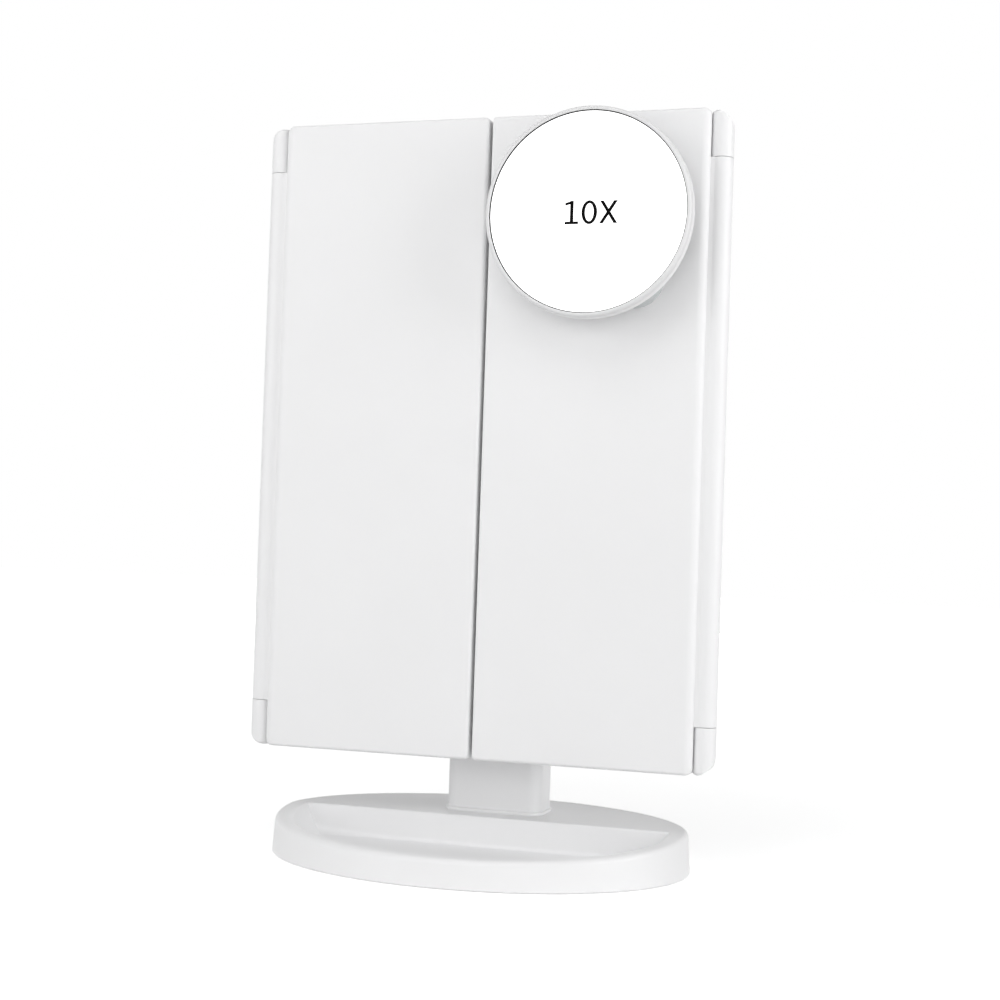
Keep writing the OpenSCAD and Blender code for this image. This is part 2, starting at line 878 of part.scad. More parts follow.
// Battery box: shell, its floor and the seat of the door
module bay_shell() {
    difference() {
        translate([0, bay_back_y, bay_mid_z])
            rotate([0, 0, 180])
                rolled_plate(bay_w + 2 * bay_wall + 2, bay_l + 2 * bay_wall + 2,
                    bay_back_y - bay_floor_y + bay_wall / 2, bay_edge_r);
        translate([0, 0, bay_mid_z])
            upright(bay_floor_y, bay_back_y + eps)
                square([bay_w, bay_l], center = true);
        translate([0, 0, bay_mid_z])
            upright(door_y, bay_back_y + eps)
                square([door_w + 2 * door_fit, door_l + 2 * door_fit], center = true);
    }
}

module rear_housing() {
    color(white)
    difference() {
        union() {
            difference() {
                housing_shell();
                translate([0, 0, bay_mid_z])
                    upright(bay_floor_y, housing_y + eps)
                        square([bay_w, bay_l], center = true);
            }
            bay_shell();
            board_ribs();
            for (x = [-1, 1], z = boss_zs)
                translate([x * boss_x, 0, z])
                    peg(boss_r, frame_back_y, housing_y - shell_wall + eps);
            for (x = [-1, 1], z = [-1, 1])
                translate([x * bracket_hole_x, 0, tilt_z + z * bracket_hole_z])
                    peg(boss_r, frame_back_y + 1, housing_y - shell_wall + eps);
        }
        for (x = [-1, 1], z = boss_zs)
            translate([x * boss_x, 0, z]) {
                peg(screw_r + 0.2, frame_back_y - eps, housing_y + eps);
                peg(screw_head_r + 0.2, housing_y - screw_head_t, housing_y + eps);
            }
        for (x = [-1, 1], z = [-1, 1])
            translate([x * bracket_hole_x, 0, tilt_z + z * bracket_hole_z])
                peg(screw_r, housing_y - shell_wall - 2.2, housing_y + eps);
        // windows of the switch and the power inlet
        translate([socket_x, 0, panel_z0 + socket_lift])
            upright(housing_y - shell_wall - eps, housing_y + eps)
                square([switch_travel + 5, 3.6], center = true);
        translate([-socket_x, 0, panel_z0 + socket_lift])
            upright(housing_y - shell_wall - eps, housing_y + eps)
                rounded_rect(9.6, 3.8, 1.8);
    }
}

// Ribs that carry the LED boards and the control board
module board_ribs() {
    for (x = [-1, 1])
        translate([x * strip_x, 0, panel_mid_z])
            upright(frame_back_y, housing_y - shell_wall + eps)
                square([2, strip_h - 8], center = true);
    for (x = [-1, 1])
        translate([x * (socket_x - 16), 0, panel_z0 + socket_lift])
            upright(frame_back_y + 0.6 + board_t, housing_y - shell_wall + eps)
                square([3, 16], center = true);
}

module housing_screws() {
    color("silver")
    for (x = [-1, 1], z = boss_zs)
        translate([x * boss_x, housing_y, z])
            screw_y(housing_depth + 2);
}

module switch_body() {
    color("dimgray")
    translate([socket_x, 0, panel_z0 + socket_lift])
        difference() {
            upright(housing_y - shell_wall - 3.4, housing_y - shell_wall)
                square([switch_travel + 10, 6], center = true);
            upright(housing_y - shell_wall - 2, housing_y)
                square([switch_travel + 5, 3.6], center = true);
        }
}

module switch_knob() {
    knob_w = 4.4;
    color("black")
    translate([socket_x - switch_travel / 2, 0, panel_z0 + socket_lift])
        upright(housing_y - shell_wall - 1.9, housing_y + 1)
            square([knob_w, 3], center = true);
}

module usb_socket() {
    color("silver")
    translate([-socket_x, 0, panel_z0 + socket_lift])
        difference() {
            upright(housing_y - 4.6, housing_y - 0.6)
                rounded_rect(9, 3.2, 1.5);
            upright(housing_y - 3.8, housing_y)
                rounded_rect(8.2, 2.4, 1.1);
        }
}

module batteries() {
    for (i = [0 : cell_count - 1]) {
        up = i % 2 == 0 ? 1 : -1;
        translate([(i - (cell_count - 1) / 2) * cell_pitch, cell_y, bay_mid_z]) {
            color("orange")
                cylinder(r = cell_r, h = cell_l, center = true);
            color("silver")
                translate([0, 0, up > 0 ? cell_l / 2 - eps : -cell_l / 2 - cell_nub_t])
                    cylinder(r = cell_nub_r, h = cell_nub_t + eps);
        }
    }
}

// Flat contact at each cell's nub
module battery_plates() {
    color("silver")
    for (i = [0 : cell_count - 1]) {
        up = i % 2 == 0 ? 1 : -1;
        plate_h = contact_room - cell_nub_t;
        z = bay_mid_z + up * (bay_l / 2 - plate_h / 2);
        translate([(i - (cell_count - 1) / 2) * cell_pitch, cell_y, z])
            cube([contact_plate_w, contact_plate_w, plate_h], center = true);
    }
}

// Conical spring contact at each cell's flat end, as stacked rings
module battery_springs() {
    color("silver")
    for (i = [0 : cell_count - 1]) {
        up = i % 2 == 0 ? -1 : 1;
        translate([(i - (cell_count - 1) / 2) * cell_pitch, cell_y,
                bay_mid_z + up * cell_l / 2])
            mirror([0, 0, up < 0 ? 1 : 0])
                rotate_extrude()
                    polygon([
                        [0.3 * cell_r, 0], [0.44 * cell_r, 0],
                        [0.7 * cell_r, contact_room], [0.56 * cell_r, contact_room]
                    ]);
    }
}

module battery_door() {
    color(white)
    difference() {
        translate([0, 0, bay_mid_z])
            upright(door_y, bay_back_y)
                rounded_rect(door_w, door_l, 1);
        // finger grip
        translate([0, 0, bay_mid_z + door_l / 2 - 8])
            for (i = [-1 : 1])
                translate([0, 0, 2.4 * i])
                    upright(bay_back_y - 0.7, bay_back_y + eps)
                        square([14, 1], center = true);
    }
}

// ---------- leaves, drawn as the right one ----------

module barrel_bores(r) {
    bore_h = pin_grip + 0.5;
    for (z = [barrel_z0 - eps, barrel_z1 - bore_h])
        translate([hinge_x, hinge_y, z])
            cylinder(r = r, h = bore_h + eps);
}

// Room round a knuckle, at both ends of a leaf
module knuckle_room() {
    room_h = knuckle_h + knuckle_drop + knuckle_gap;
    for (z = [barrel_z0 - room_h, barrel_z1])
        translate([hinge_x, hinge_y, z])
            cylinder(r = barrel_r + side_gap, h = room_h + eps);
}

// Outer plate of a leaf, with the larger round beside the hinge
module leaf_plate() {
    intersection() {
        translate([leaf_mid_x, leaf_face_y, panel_mid_z])
            rolled_plate(leaf_w, panel_h, leaf_shell_t, leaf_edge_r);
        translate([0, 0, panel_z0 - 1])
            linear_extrude(panel_h + 2)
                union() {
                    translate([leaf_x0 - 1, leaf_face_y - 1])
                        square([leaf_w + 1 - leaf_side_r, leaf_shell_t + 2]);
                    translate([leaf_x0 - 1, leaf_face_y + leaf_side_r])
                        square([leaf_w + 1, leaf_shell_t]);
                    translate([leaf_x1 - leaf_side_r, leaf_face_y + leaf_side_r])
                        circle(leaf_side_r);
                }
    }
}

module leaf_cover() {
    barrel_h = barrel_z1 - barrel_z0;
    web_x = leaf_x1 - leaf_edge_r;
    web_y = hinge_y - barrel_r / 2;
    difference() {
        union() {
            leaf_plate();
            translate([hinge_x, hinge_y, barrel_z0])
                cylinder(r = barrel_r, h = barrel_h);
            translate([web_x, web_y, barrel_z0])
                cube([hinge_x - web_x, leaf_back_y - 0.2 - web_y, barrel_h]);
        }
        // hollow of the cover
        translate([leaf_mid_x, 0, panel_mid_z])
            upright(leaf_face_y + leaf_wall, leaf_back_y - leaf_frame_t + eps)
                square([leaf_w - 2 * hollow_inset, panel_h - 2 * hollow_inset], center = true);
        knuckle_room();
        barrel_bores(pin_r + running_fit);
    }
}

// Inner frame with a seat for each pane: a pane is [middle z, height]
module leaf_frame(panes) {
    front_y = leaf_back_y - leaf_frame_t;
    tongue_w = leaf_w - 2 * (hollow_inset + tongue_fit);
    tongue_h = panel_h - 2 * (hollow_inset + tongue_fit);
    difference() {
        union() {
            translate([leaf_frame_mid_x, 0, panel_mid_z])
                upright(front_y, leaf_back_y)
                    rounded_rect(leaf_frame_w, leaf_frame_h, leaf_edge_r);
            translate([leaf_mid_x, 0, panel_mid_z])
                upright(front_y - tongue_t, front_y + eps)
                    square([tongue_w, tongue_h], center = true);
        }
        translate([leaf_mid_x, 0, panel_mid_z])
            upright(front_y - tongue_t - 1, front_y)
                square([tongue_w - 2 * tongue_wall, tongue_h - 2 * tongue_wall],
                    center = true);
        for (pane = panes)
            translate([leaf_frame_mid_x, 0, pane[0]])
                upright(leaf_glass_y - glass_t, leaf_back_y + eps)
                    square([leaf_glass_w + 2 * glass_fit, pane[1] + 2 * glass_fit],
                        center = true);
        translate([magnet_x, 0, panel_mid_z])
            peg(magnet_r, leaf_back_y - magnet_t, leaf_back_y + eps);
        knuckle_room();
    }
}

module leaf_pane(pane) {
    color("lightblue")
    translate([leaf_frame_mid_x, 0, pane[0]])
        upright(leaf_glass_y - glass_t, leaf_glass_y)
            square([leaf_glass_w, pane[1]], center = true);
}

module leaf_magnet() {
    color("silver")
    translate([magnet_x, 0, panel_mid_z])
        peg(magnet_r, leaf_back_y - magnet_t, leaf_back_y);
}

module right_cover() { color(white) leaf_cover(); }
module right_frame() { color(white) leaf_frame([whole_pane]); }
module mirror_1x() { leaf_pane(whole_pane); }
module right_magnet() { leaf_magnet(); }
module left_cover() { color(white) mirror([1, 0, 0]) leaf_cover(); }
module left_frame() { color(white) mirror([1, 0, 0]) leaf_frame([upper_pane, lower_pane]); }
module mirror_2x() { mirror([1, 0, 0]) leaf_pane(upper_pane); }
module mirror_3x() { mirror([1, 0, 0]) leaf_pane(lower_pane); }
module left_magnet() { mirror([1, 0, 0]) leaf_magnet(); }

module wing_pins() {
    color("silver")
    for (side = [0, 1])
        mirror([side, 0, 0]) {
            for (z = [knuckle_low_z - pin_grip, barrel_z1 - pin_grip])
                translate([hinge_x, hinge_y, z])
                    cylinder(r = pin_r, h = 2 * pin_grip + knuckle_gap);
        }
}

// Steel plates that the leaf magnets meet, behind the glass
module frame_magnets() {
    color("silver")
    for (x = [-1, 1])
        translate([x * (leaf_x0 + 5), 0, panel_mid_z])
            upright(glass_back_y, glass_back_y + 1)
                square([6, 8], center = true);
}

// ---------- spot mirror ----------

module at_spot() {
    translate([spot_x, 0, spot_z])
        children();
}

// Turns a drawing of radius and depth about the spot mirror's axis, depth running back
module spot_turn() {
    translate([spot_x, spot_face_y, spot_z])
        rotate([-90, 0, 0])
            rotate_extrude($fn = 128)
                children();
}

module spot_housing() {
    back_r = 2.5;
    color(white)
    difference() {
        spot_turn() {
            polygon([
                [0, spot_rim_t], [spot_r, spot_rim_t], [spot_r, spot_depth - back_r],
                [spot_r - back_r, spot_depth - back_r], [spot_r - back_r, spot_depth],
                [0, spot_depth]
            ]);
            translate([spot_r - back_r, spot_depth - back_r])
                circle(back_r);
        }
        spot_turn()
            polygon([
                [0, spot_rim_t - eps], [spot_r - 3.2, spot_rim_t - eps],
                [spot_r - 3.2, spot_depth - 2], [0, spot_depth - 2]
            ]);
        cup_places()
            peg(stud_r, spot_back_y - 3, spot_back_y + eps);
    }
}

module spot_rim() {
    nose_r = 1.2;
    color(white)
    spot_turn()
        difference() {
            union() {
                polygon([
                    [spot_r - 4, nose_r], [spot_r, nose_r], [spot_r, spot_rim_t],
                    [spot_r - 4, spot_rim_t]
                ]);
                polygon([
                    [spot_r - 4, 0], [spot_r - nose_r, 0], [spot_r - nose_r, nose_r + eps],
                    [spot_r - 4, nose_r + eps]
                ]);
                translate([spot_r - nose_r, nose_r])
                    circle(nose_r);
            }
            translate([0, -1])
                square([spot_glass_r + glass_fit, 1.5 + glass_t]);
        }
}

module spot_glass() {
    color("lightblue")
    spot_turn()
        translate([0, 0.5])
            square([spot_glass_r, glass_t]);
}

module cup_places() {
    at_spot()
        for (i = [0 : cup_count - 1])
            rotate([0, cup_angle + i * 360 / cup_count, 0])
                translate([cup_ring_r, 0, 0])
                    children();
}

module suction_cups() {
    color("lightgray", 0.6)
    cup_places()
        translate([0, spot_back_y, 0])
            rotate([-90, 0, 0])
                rotate_extrude()
                    polygon([
                        [0, -2], [stud_r, -2], [stud_r, cup_t * 0.35],
                        [cup_r, cup_t - 1], [cup_r, cup_t], [cup_r - 1, cup_t],
                        [2, cup_t * 0.6], [0, cup_t * 0.6]
                    ]);
}

base_tray();
base_plate();
base_weight();
base_pad();
base_screws();
neck_sleeve();
neck_core();
neck_screws();
friction_washers();
centre_frame();
centre_mirror();
light_diffusers();
led_boards();
leds();
rear_housing();
tilt_bracket();
bracket_screws();
tilt_axle();
axle_nut();
spring_washers();
axle_caps();
wing_pins();
batteries();
battery_springs();
battery_plates();
control_board();
touch_sensor();
switch_body();
usb_socket();
housing_screws();
frame_magnets();
battery_door();
switch_knob();
left_cover();
left_frame();
mirror_2x();
mirror_3x();
left_magnet();
right_cover();
right_frame();
mirror_1x();
right_magnet();
spot_housing();
spot_rim();
spot_glass();
suction_cups();
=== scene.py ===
# %% [markdown]
# A trifold vanity mirror, closed. Two white leaves are folded over the lighted middle mirror, a
# round spot mirror hangs on the right leaf, and a column carries the panel on an oval tray base.
# The construction comes in as a finished frame. This lesson gives it surfaces: each cell makes
# one piece or one finish, says what it is on the real object, and prints what it made.

import json
from math import cos, pi, radians, sin, sqrt

import bmesh
import bpy
from mathutils import Matrix, Vector


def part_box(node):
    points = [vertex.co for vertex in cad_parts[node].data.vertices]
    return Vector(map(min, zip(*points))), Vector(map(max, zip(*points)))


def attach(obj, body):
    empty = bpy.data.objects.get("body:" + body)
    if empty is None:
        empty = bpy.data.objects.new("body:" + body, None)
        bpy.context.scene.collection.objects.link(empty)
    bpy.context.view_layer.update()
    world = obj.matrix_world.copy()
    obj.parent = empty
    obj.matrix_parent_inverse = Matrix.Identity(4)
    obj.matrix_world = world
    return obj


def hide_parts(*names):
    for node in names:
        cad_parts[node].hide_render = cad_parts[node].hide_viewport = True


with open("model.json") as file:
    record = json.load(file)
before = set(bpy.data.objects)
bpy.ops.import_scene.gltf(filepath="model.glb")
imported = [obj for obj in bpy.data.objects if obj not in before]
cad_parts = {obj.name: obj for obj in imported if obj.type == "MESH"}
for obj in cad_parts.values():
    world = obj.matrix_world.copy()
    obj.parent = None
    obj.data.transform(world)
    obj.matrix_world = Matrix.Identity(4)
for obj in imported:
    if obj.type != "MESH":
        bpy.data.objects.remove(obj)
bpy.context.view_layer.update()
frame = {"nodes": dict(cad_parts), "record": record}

# %% [markdown]
# The photograph was taken a little to the right of the middle, at the height of the panel's lower
# half, from 64 cm away. A camera could be dragged about until it looks right. This one was fitted
# to corners that can be measured in the picture, so that its place, turn and lens are plain
# numbers. The small roll repeats the slight lean of the picture.

# %% Camera
MM = 0.001
CAMERA_PLACE = Vector((196.19, -611.63, 117.94)) * MM
CAMERA_TURN = radians(17.44)
CAMERA_RISE = radians(1.60)
CAMERA_ROLL = radians(1.93)
SENSOR_WIDTH = 36.0
LENS = 60.87


def place_camera():
    data = bpy.data.cameras.new("camera")
    data.sensor_width = SENSOR_WIDTH
    data.lens = LENS
    camera = bpy.data.objects.new("camera", data)
    bpy.context.scene.collection.objects.link(camera)
    turn = Matrix.Rotation(CAMERA_TURN, 4, "Z") @ Matrix.Rotation(pi / 2 + CAMERA_RISE, 4, "X")
    roll = Matrix.Rotation(CAMERA_ROLL, 4, "Z")
    camera.matrix_world = Matrix.Translation(CAMERA_PLACE) @ turn @ roll
    bpy.context.scene.camera = camera
    print("camera", [round(value, 3) for value in CAMERA_PLACE], "m, lens", LENS, "mm")


place_camera()

# %% [markdown]
# The picture has a pure white background and a soft light from the front. A bright white world
# would give both, but it would also wash out every edge. So the world is dim to the object and
# white to the camera and to reflections, and the Light Path node tells these rays apart. Most of
# the light comes from large soft lamps before the object and on its right, so that the deck
# behind the tray and the column, which the panel covers, stay in its shade. A low lamp behind the
# object lights its back for the other views. It and the front lamp don't show in glass or gloss,
# where only the white backdrop may be seen.

# %% World and lamps
WORLD_LEVEL = 0.155
BACKDROP_LEVEL = 1.0
WHITE = (1.0, 1.0, 1.0, 1.0)
PANEL_MIDDLE, TRAY_MIDDLE = (0, 0, 0.14), (0, 0, 0.05)


def math_node(nodes, links, operation, *values):
    """The output of a Math node. Each value is a number or another node's output."""
    node = nodes.new("ShaderNodeMath")
    node.operation = operation
    for socket, value in zip(node.inputs, values):
        if isinstance(value, (int, float)):
            socket.default_value = value
        else:
            links.new(value, socket)
    return node.outputs[0]


def light_path_world():
    world = bpy.data.worlds.new("studio")
    bpy.context.scene.world = world
    world.use_nodes = True
    nodes, links = world.node_tree.nodes, world.node_tree.links
    nodes.clear()
    path = nodes.new("ShaderNodeLightPath").outputs
    seen = math_node(nodes, links, "MAXIMUM", path["Is Camera Ray"], path["Is Glossy Ray"])
    seen = math_node(nodes, links, "MAXIMUM", seen, path["Is Transmission Ray"])
    light = nodes.new("ShaderNodeBackground")
    light.inputs["Color"].default_value = WHITE
    light.inputs["Strength"].default_value = WORLD_LEVEL
    white = nodes.new("ShaderNodeBackground")
    white.inputs["Color"].default_value = WHITE
    white.inputs["Strength"].default_value = BACKDROP_LEVEL
    mix = nodes.new("ShaderNodeMixShader")
    links.new(seen, mix.inputs["Fac"])
    links.new(light.outputs[0], mix.inputs[1])
    links.new(white.outputs[0], mix.inputs[2])
    output = nodes.new("ShaderNodeOutputWorld")
    links.new(mix.outputs[0], output.inputs["Surface"])


def area_lamp(name, place, aim, size, power):
    data = bpy.data.lights.new(name, "AREA")
    data.shape = "RECTANGLE"
    data.size, data.size_y = size
    data.energy = power
    lamp = bpy.data.objects.new(name, data)
    bpy.context.scene.collection.objects.link(lamp)
    lamp.location = place
    lamp.rotation_euler = (Vector(aim) - Vector(place)).to_track_quat("-Z", "Y").to_euler()
    return lamp


light_path_world()
area_lamp("key", (-0.75, -1.25, 1.15), PANEL_MIDDLE, (1.7, 1.7), 7.2)
front = area_lamp("front", (0.45, -1.65, 0.3), PANEL_MIDDLE, (1.4, 1.0), 6.2)
area_lamp("tray_light", (0.0, -1.0, 1.5), TRAY_MIDDLE, (0.9, 0.9), 4.2)
area_lamp("left", (-1.3, -1.0, 0.4), PANEL_MIDDLE, (1.5, 1.0), 6.6)
area_lamp("right", (1.4, -0.3, 0.5), PANEL_MIDDLE, (1.0, 1.0), 11.2)
rear = area_lamp("rear", (0.0, 1.9, 0.12), PANEL_MIDDLE, (1.6, 0.2), 14.0)
for lamp in (front, rear):
    lamp.visible_glossy = False
bpy.context.scene.view_settings.view_transform = "Standard"

# %% [markdown]
# The floor is a large sheet of white paper. It could be left out under a white world, but then
# the object would float. To the camera the paper glows a little, which lifts it to white, and the
# soft shadow under the base still shows. The glow grows with the distance from the object, so
# that the far paper melts into the backdrop.

# %% Floor
FLOOR_HALF = 4.0
PAPER, PAPER_ROUGHNESS = (0.9, 0.9, 0.9, 1.0), 0.9
FLOOR_GLOW, FAR_GLOW = 0.55, 1.0
GLOW_FROM, GLOW_TO = 0.2, 0.8


def studio_floor():
    bm = bmesh.new()
    bmesh.ops.create_grid(bm, x_segments=1, y_segments=1, size=FLOOR_HALF)
    mesh = bpy.data.meshes.new("studio_floor")
    bm.to_mesh(mesh)
    bm.free()
    floor = bpy.data.objects.new("studio_floor", mesh)
    bpy.context.scene.collection.objects.link(floor)
    material = bpy.data.materials.new("floor_paper")
    material.use_nodes = True
    nodes, links = material.node_tree.nodes, material.node_tree.links
    shader = nodes["Principled BSDF"]
    shader.inputs["Base Color"].default_value = PAPER
    shader.inputs["Roughness"].default_value = PAPER_ROUGHNESS
    shader.inputs["Specular IOR Level"].default_value = 0.0
    path = nodes.new("ShaderNodeLightPath").outputs
    seen = math_node(nodes, links, "MAXIMUM", path["Is Camera Ray"], path["Is Glossy Ray"])
    place = nodes.new("ShaderNodeTexCoord")
    reach = nodes.new("ShaderNodeVectorMath")
    reach.operation = "LENGTH"
    links.new(place.outputs["Object"], reach.inputs[0])
    rise = nodes.new("ShaderNodeMapRange")
    rise.interpolation_type = "SMOOTHSTEP"
    for socket, value in (("From Min", GLOW_FROM), ("From Max", GLOW_TO),
                          ("To Min", FLOOR_GLOW), ("To Max", FAR_GLOW)):
        rise.inputs[socket].default_value = value
    links.new(reach.outputs["Value"], rise.inputs["Value"])
    glow = math_node(nodes, links, "MULTIPLY", seen, rise.outputs["Result"])
    shader.inputs["Emission Color"].default_value = WHITE
    links.new(glow, shader.inputs["Emission Strength"])
    floor.data.materials.append(material)
    print("floor", 2 * FLOOR_HALF, "m square")


studio_floor()

# %% [markdown]
# Most of the object is one satin white plastic. Injection moulding leaves a fine grain and a very
# slight cloudiness. A picture texture could show them, but it has to be unwrapped and it repeats.
# The node group below makes them from two noises on Object coordinates, once for all plastics:
# the fine one gives the height and the roughness, and the wide one the shade.

# %% Grain of the moulded plastic
GRAIN_SIZE, GRAIN_DETAIL = 2200.0, 4.0
CLOUD_SIZE, CLOUD_DETAIL = 22.0, 2.0
CLOUD_LOW, CLOUD_HIGH = 0.3, 0.7
SHADE_OF_VARIATION = -0.25
NOISE_MIDDLE = 0.5


def moulding_group():
    group = bpy.data.node_groups.new("moulding_grain", "ShaderNodeTree")
    face = group.interface
    for name, value in (("Grain Size", GRAIN_SIZE), ("Variation", 0.06), ("Roughness", 0.35)):
        socket = face.new_socket(name, in_out="INPUT", socket_type="NodeSocketFloat")
        socket.default_value = value
    face.new_socket("Color", in_out="INPUT", socket_type="NodeSocketColor")
    face.new_socket("Color", in_out="OUTPUT", socket_type="NodeSocketColor")
    face.new_socket("Roughness", in_out="OUTPUT", socket_type="NodeSocketFloat")
    face.new_socket("Height", in_out="OUTPUT", socket_type="NodeSocketFloat")
    nodes, links = group.nodes, group.links
    inside = nodes.new("NodeGroupInput")
    outside = nodes.new("NodeGroupOutput")
    place = nodes.new("ShaderNodeTexCoord")
    grain = nodes.new("ShaderNodeTexNoise")
    grain.inputs["Detail"].default_value = GRAIN_DETAIL
    links.new(place.outputs["Object"], grain.inputs["Vector"])
    links.new(inside.outputs["Grain Size"], grain.inputs["Scale"])
    cloud = nodes.new("ShaderNodeTexNoise")
    cloud.inputs["Scale"].default_value = CLOUD_SIZE
    cloud.inputs["Detail"].default_value = CLOUD_DETAIL
    links.new(place.outputs["Object"], cloud.inputs["Vector"])
    shade = nodes.new("ShaderNodeMapRange")
    shade.inputs["From Min"].default_value = CLOUD_LOW
    shade.inputs["From Max"].default_value = CLOUD_HIGH
    shade.inputs["To Min"].default_value = 1.0
    links.new(cloud.outputs["Fac"], shade.inputs["Value"])
    variation = inside.outputs["Variation"]
    less = math_node(nodes, links, "MULTIPLY_ADD", variation, SHADE_OF_VARIATION, 1.0)
    links.new(less, shade.inputs["To Max"])
    tint = nodes.new("ShaderNodeVectorMath")
    tint.operation = "SCALE"
    links.new(inside.outputs["Color"], tint.inputs[0])
    links.new(shade.outputs["Result"], tint.inputs["Scale"])
    links.new(tint.outputs["Vector"], outside.inputs["Color"])
    spread = math_node(nodes, links, "SUBTRACT", grain.outputs["Fac"], NOISE_MIDDLE)
    rough = math_node(nodes, links, "MULTIPLY_ADD", spread, variation, inside.outputs["Roughness"])
    links.new(rough, outside.inputs["Roughness"])
    links.new(grain.outputs["Fac"], outside.inputs["Height"])
    return group


MOULDING = moulding_group()
print("group", MOULDING.name, [item.name for item in MOULDING.interface.items_tree])

# %% [markdown]
# Every finish starts from the same links: colour and roughness come from the group, and a Bump
# node turns the grain into relief. Each material could be built by hand, but then every change
# would be made ten times. The spot mirror's ring is the same white plastic, given a slightly darker
# white as painted shade. The ink has next to no gloss, because a reflection would make the figures
# look thin.

# %% Plastics
RELIEF_DEPTH = 0.2 * MM
INK_GLOSS = 0.05


def grained(name, color, roughness, grain, variation):
    material = bpy.data.materials.new(name)
    material.use_nodes = True
    nodes, links = material.node_tree.nodes, material.node_tree.links
    shader = nodes["Principled BSDF"]
    group = nodes.new("ShaderNodeGroup")
    group.name = "grain"
    group.node_tree = MOULDING
    group.inputs["Color"].default_value = (*color, 1.0)
    group.inputs["Roughness"].default_value = roughness
    group.inputs["Grain Size"].default_value = grain
    group.inputs["Variation"].default_value = variation
    links.new(group.outputs["Color"], shader.inputs["Base Color"])
    links.new(group.outputs["Roughness"], shader.inputs["Roughness"])
    return material


def plastic(name, color, roughness, grain=GRAIN_SIZE, variation=0.06, bump=0.02):
    material = grained(name, color, roughness, grain, variation)
    nodes, links = material.node_tree.nodes, material.node_tree.links
    relief = nodes.new("ShaderNodeBump")
    relief.inputs["Strength"].default_value = bump
    relief.inputs["Distance"].default_value = RELIEF_DEPTH
    links.new(nodes["grain"].outputs["Height"], relief.inputs["Height"])
    links.new(relief.outputs["Normal"], nodes["Principled BSDF"].inputs["Normal"])
    return material


WHITE_ABS = plastic("white_abs", (0.88, 0.88, 0.885), 0.42)
# Painted shade: the ring's white is the same plastic, coloured darker where less light reaches it.
RING_PAINTED_SHADE_WHITE = plastic("ring_painted_shade_white", (0.78, 0.78, 0.785), 0.42)
INNER_PLASTIC = plastic("inner_plastic", (0.62, 0.63, 0.64), 0.5)
BLACK_PLASTIC = plastic("black_plastic", (0.02, 0.02, 0.022), 0.42)
BLACK_INK = plastic("black_ink", (0.004, 0.004, 0.004), 0.9, variation=0.0, bump=0.0)
INK_SHADER = BLACK_INK.node_tree.nodes["Principled BSDF"]
INK_SHADER.inputs["Specular IOR Level"].default_value = INK_GLOSS
PAD_RUBBER = plastic("pad_rubber", (0.10, 0.10, 0.11), 0.8, grain=900.0, variation=0.2, bump=0.2)
FRICTION_RUBBER = plastic("friction_rubber", (0.05, 0.05, 0.055), 0.75)
FROSTED = plastic("frosted_diffuser", (0.86, 0.86, 0.85), 0.55)
CIRCUIT_BOARD = plastic("circuit_board", (0.02, 0.16, 0.07), 0.4)
LED_YELLOW = plastic("led_yellow", (0.85, 0.70, 0.22), 0.3)
print("plastics", WHITE_ABS.name, INNER_PLASTIC.name, BLACK_PLASTIC.name, "and the rest")

# %% [markdown]
# Steel has fine turning marks in its roughness and needs no relief at this size. The panes are
# silvered glass. They could be clear sheets over a metal one, but only the silver shows, so each
# is one very smooth metal. The spot mirror is taken as a pure white mirror, as the photograph
# shows it, and the panes inside the leaves lose a little light in their thicker glass.

# %% Metals and plain mirror
SILVER, PANE_ROUGHNESS = (0.88, 0.90, 0.90), 0.012
PANE_GRAIN, PANE_SPREAD = 60.0, 0.002


def metal(name, color, roughness, scale=900.0, spread=0.12):
    material = grained(name, color, roughness, scale, spread)
    material.node_tree.nodes["Principled BSDF"].inputs["Metallic"].default_value = 1.0
    return material


SCREW_STEEL = metal("screw_steel", (0.62, 0.61, 0.59), 0.3)
BALLAST_STEEL = metal("ballast_steel", (0.42, 0.42, 0.43), 0.45)
COPPER_PAD = metal("copper_pad", (0.80, 0.47, 0.26), 0.3)
MIRROR_GLASS = metal("mirror_glass", WHITE[:3], PANE_ROUGHNESS, PANE_GRAIN, PANE_SPREAD)
LEAF_MIRROR = metal("leaf_mirror", SILVER, PANE_ROUGHNESS, PANE_GRAIN, PANE_SPREAD)
print("metals", SCREW_STEEL.name, BALLAST_STEEL.name, COPPER_PAD.name)
print("mirrors", MIRROR_GLASS.name, LEAF_MIRROR.name)

# %% [markdown]
# The suction cups are soft clear vinyl. Full glass would look dark in the narrow gap behind the
# spot mirror. So only a part of the light passes through, and the rest meets a pale grey body.

# %% Clear vinyl
VINYL_CLEARNESS, VINYL_IOR = 0.35, 1.45


def vinyl():
    material = plastic("clear_cup", (0.80, 0.82, 0.83), 0.22, bump=0.01)
    shader = material.node_tree.nodes["Principled BSDF"]
    shader.inputs["Transmission Weight"].default_value = VINYL_CLEARNESS
    shader.inputs["IOR"].default_value = VINYL_IOR
    return material


CLEAR_CUP = vinyl()
print("vinyl", CLEAR_CUP.name)

# %% [markdown]
# The middle mirror has two frosted bands, where the silver is left off so that the LEDs shine
# through, and a printed ring over the touch sensor. They could be pieces of their own, with seams
# that the real pane doesn't have. One mask on Object coordinates serves both instead: it turns
# the mirror into a white diffuser there.

# %% Lighted mirror
LED_BAND_HALF = 4.5 * MM
TOUCH_RING = 5.6 * MM
TOUCH_LINE = 0.45 * MM
FROST, FROST_ROUGHNESS = (0.84, 0.85, 0.85, 1.0), 0.5


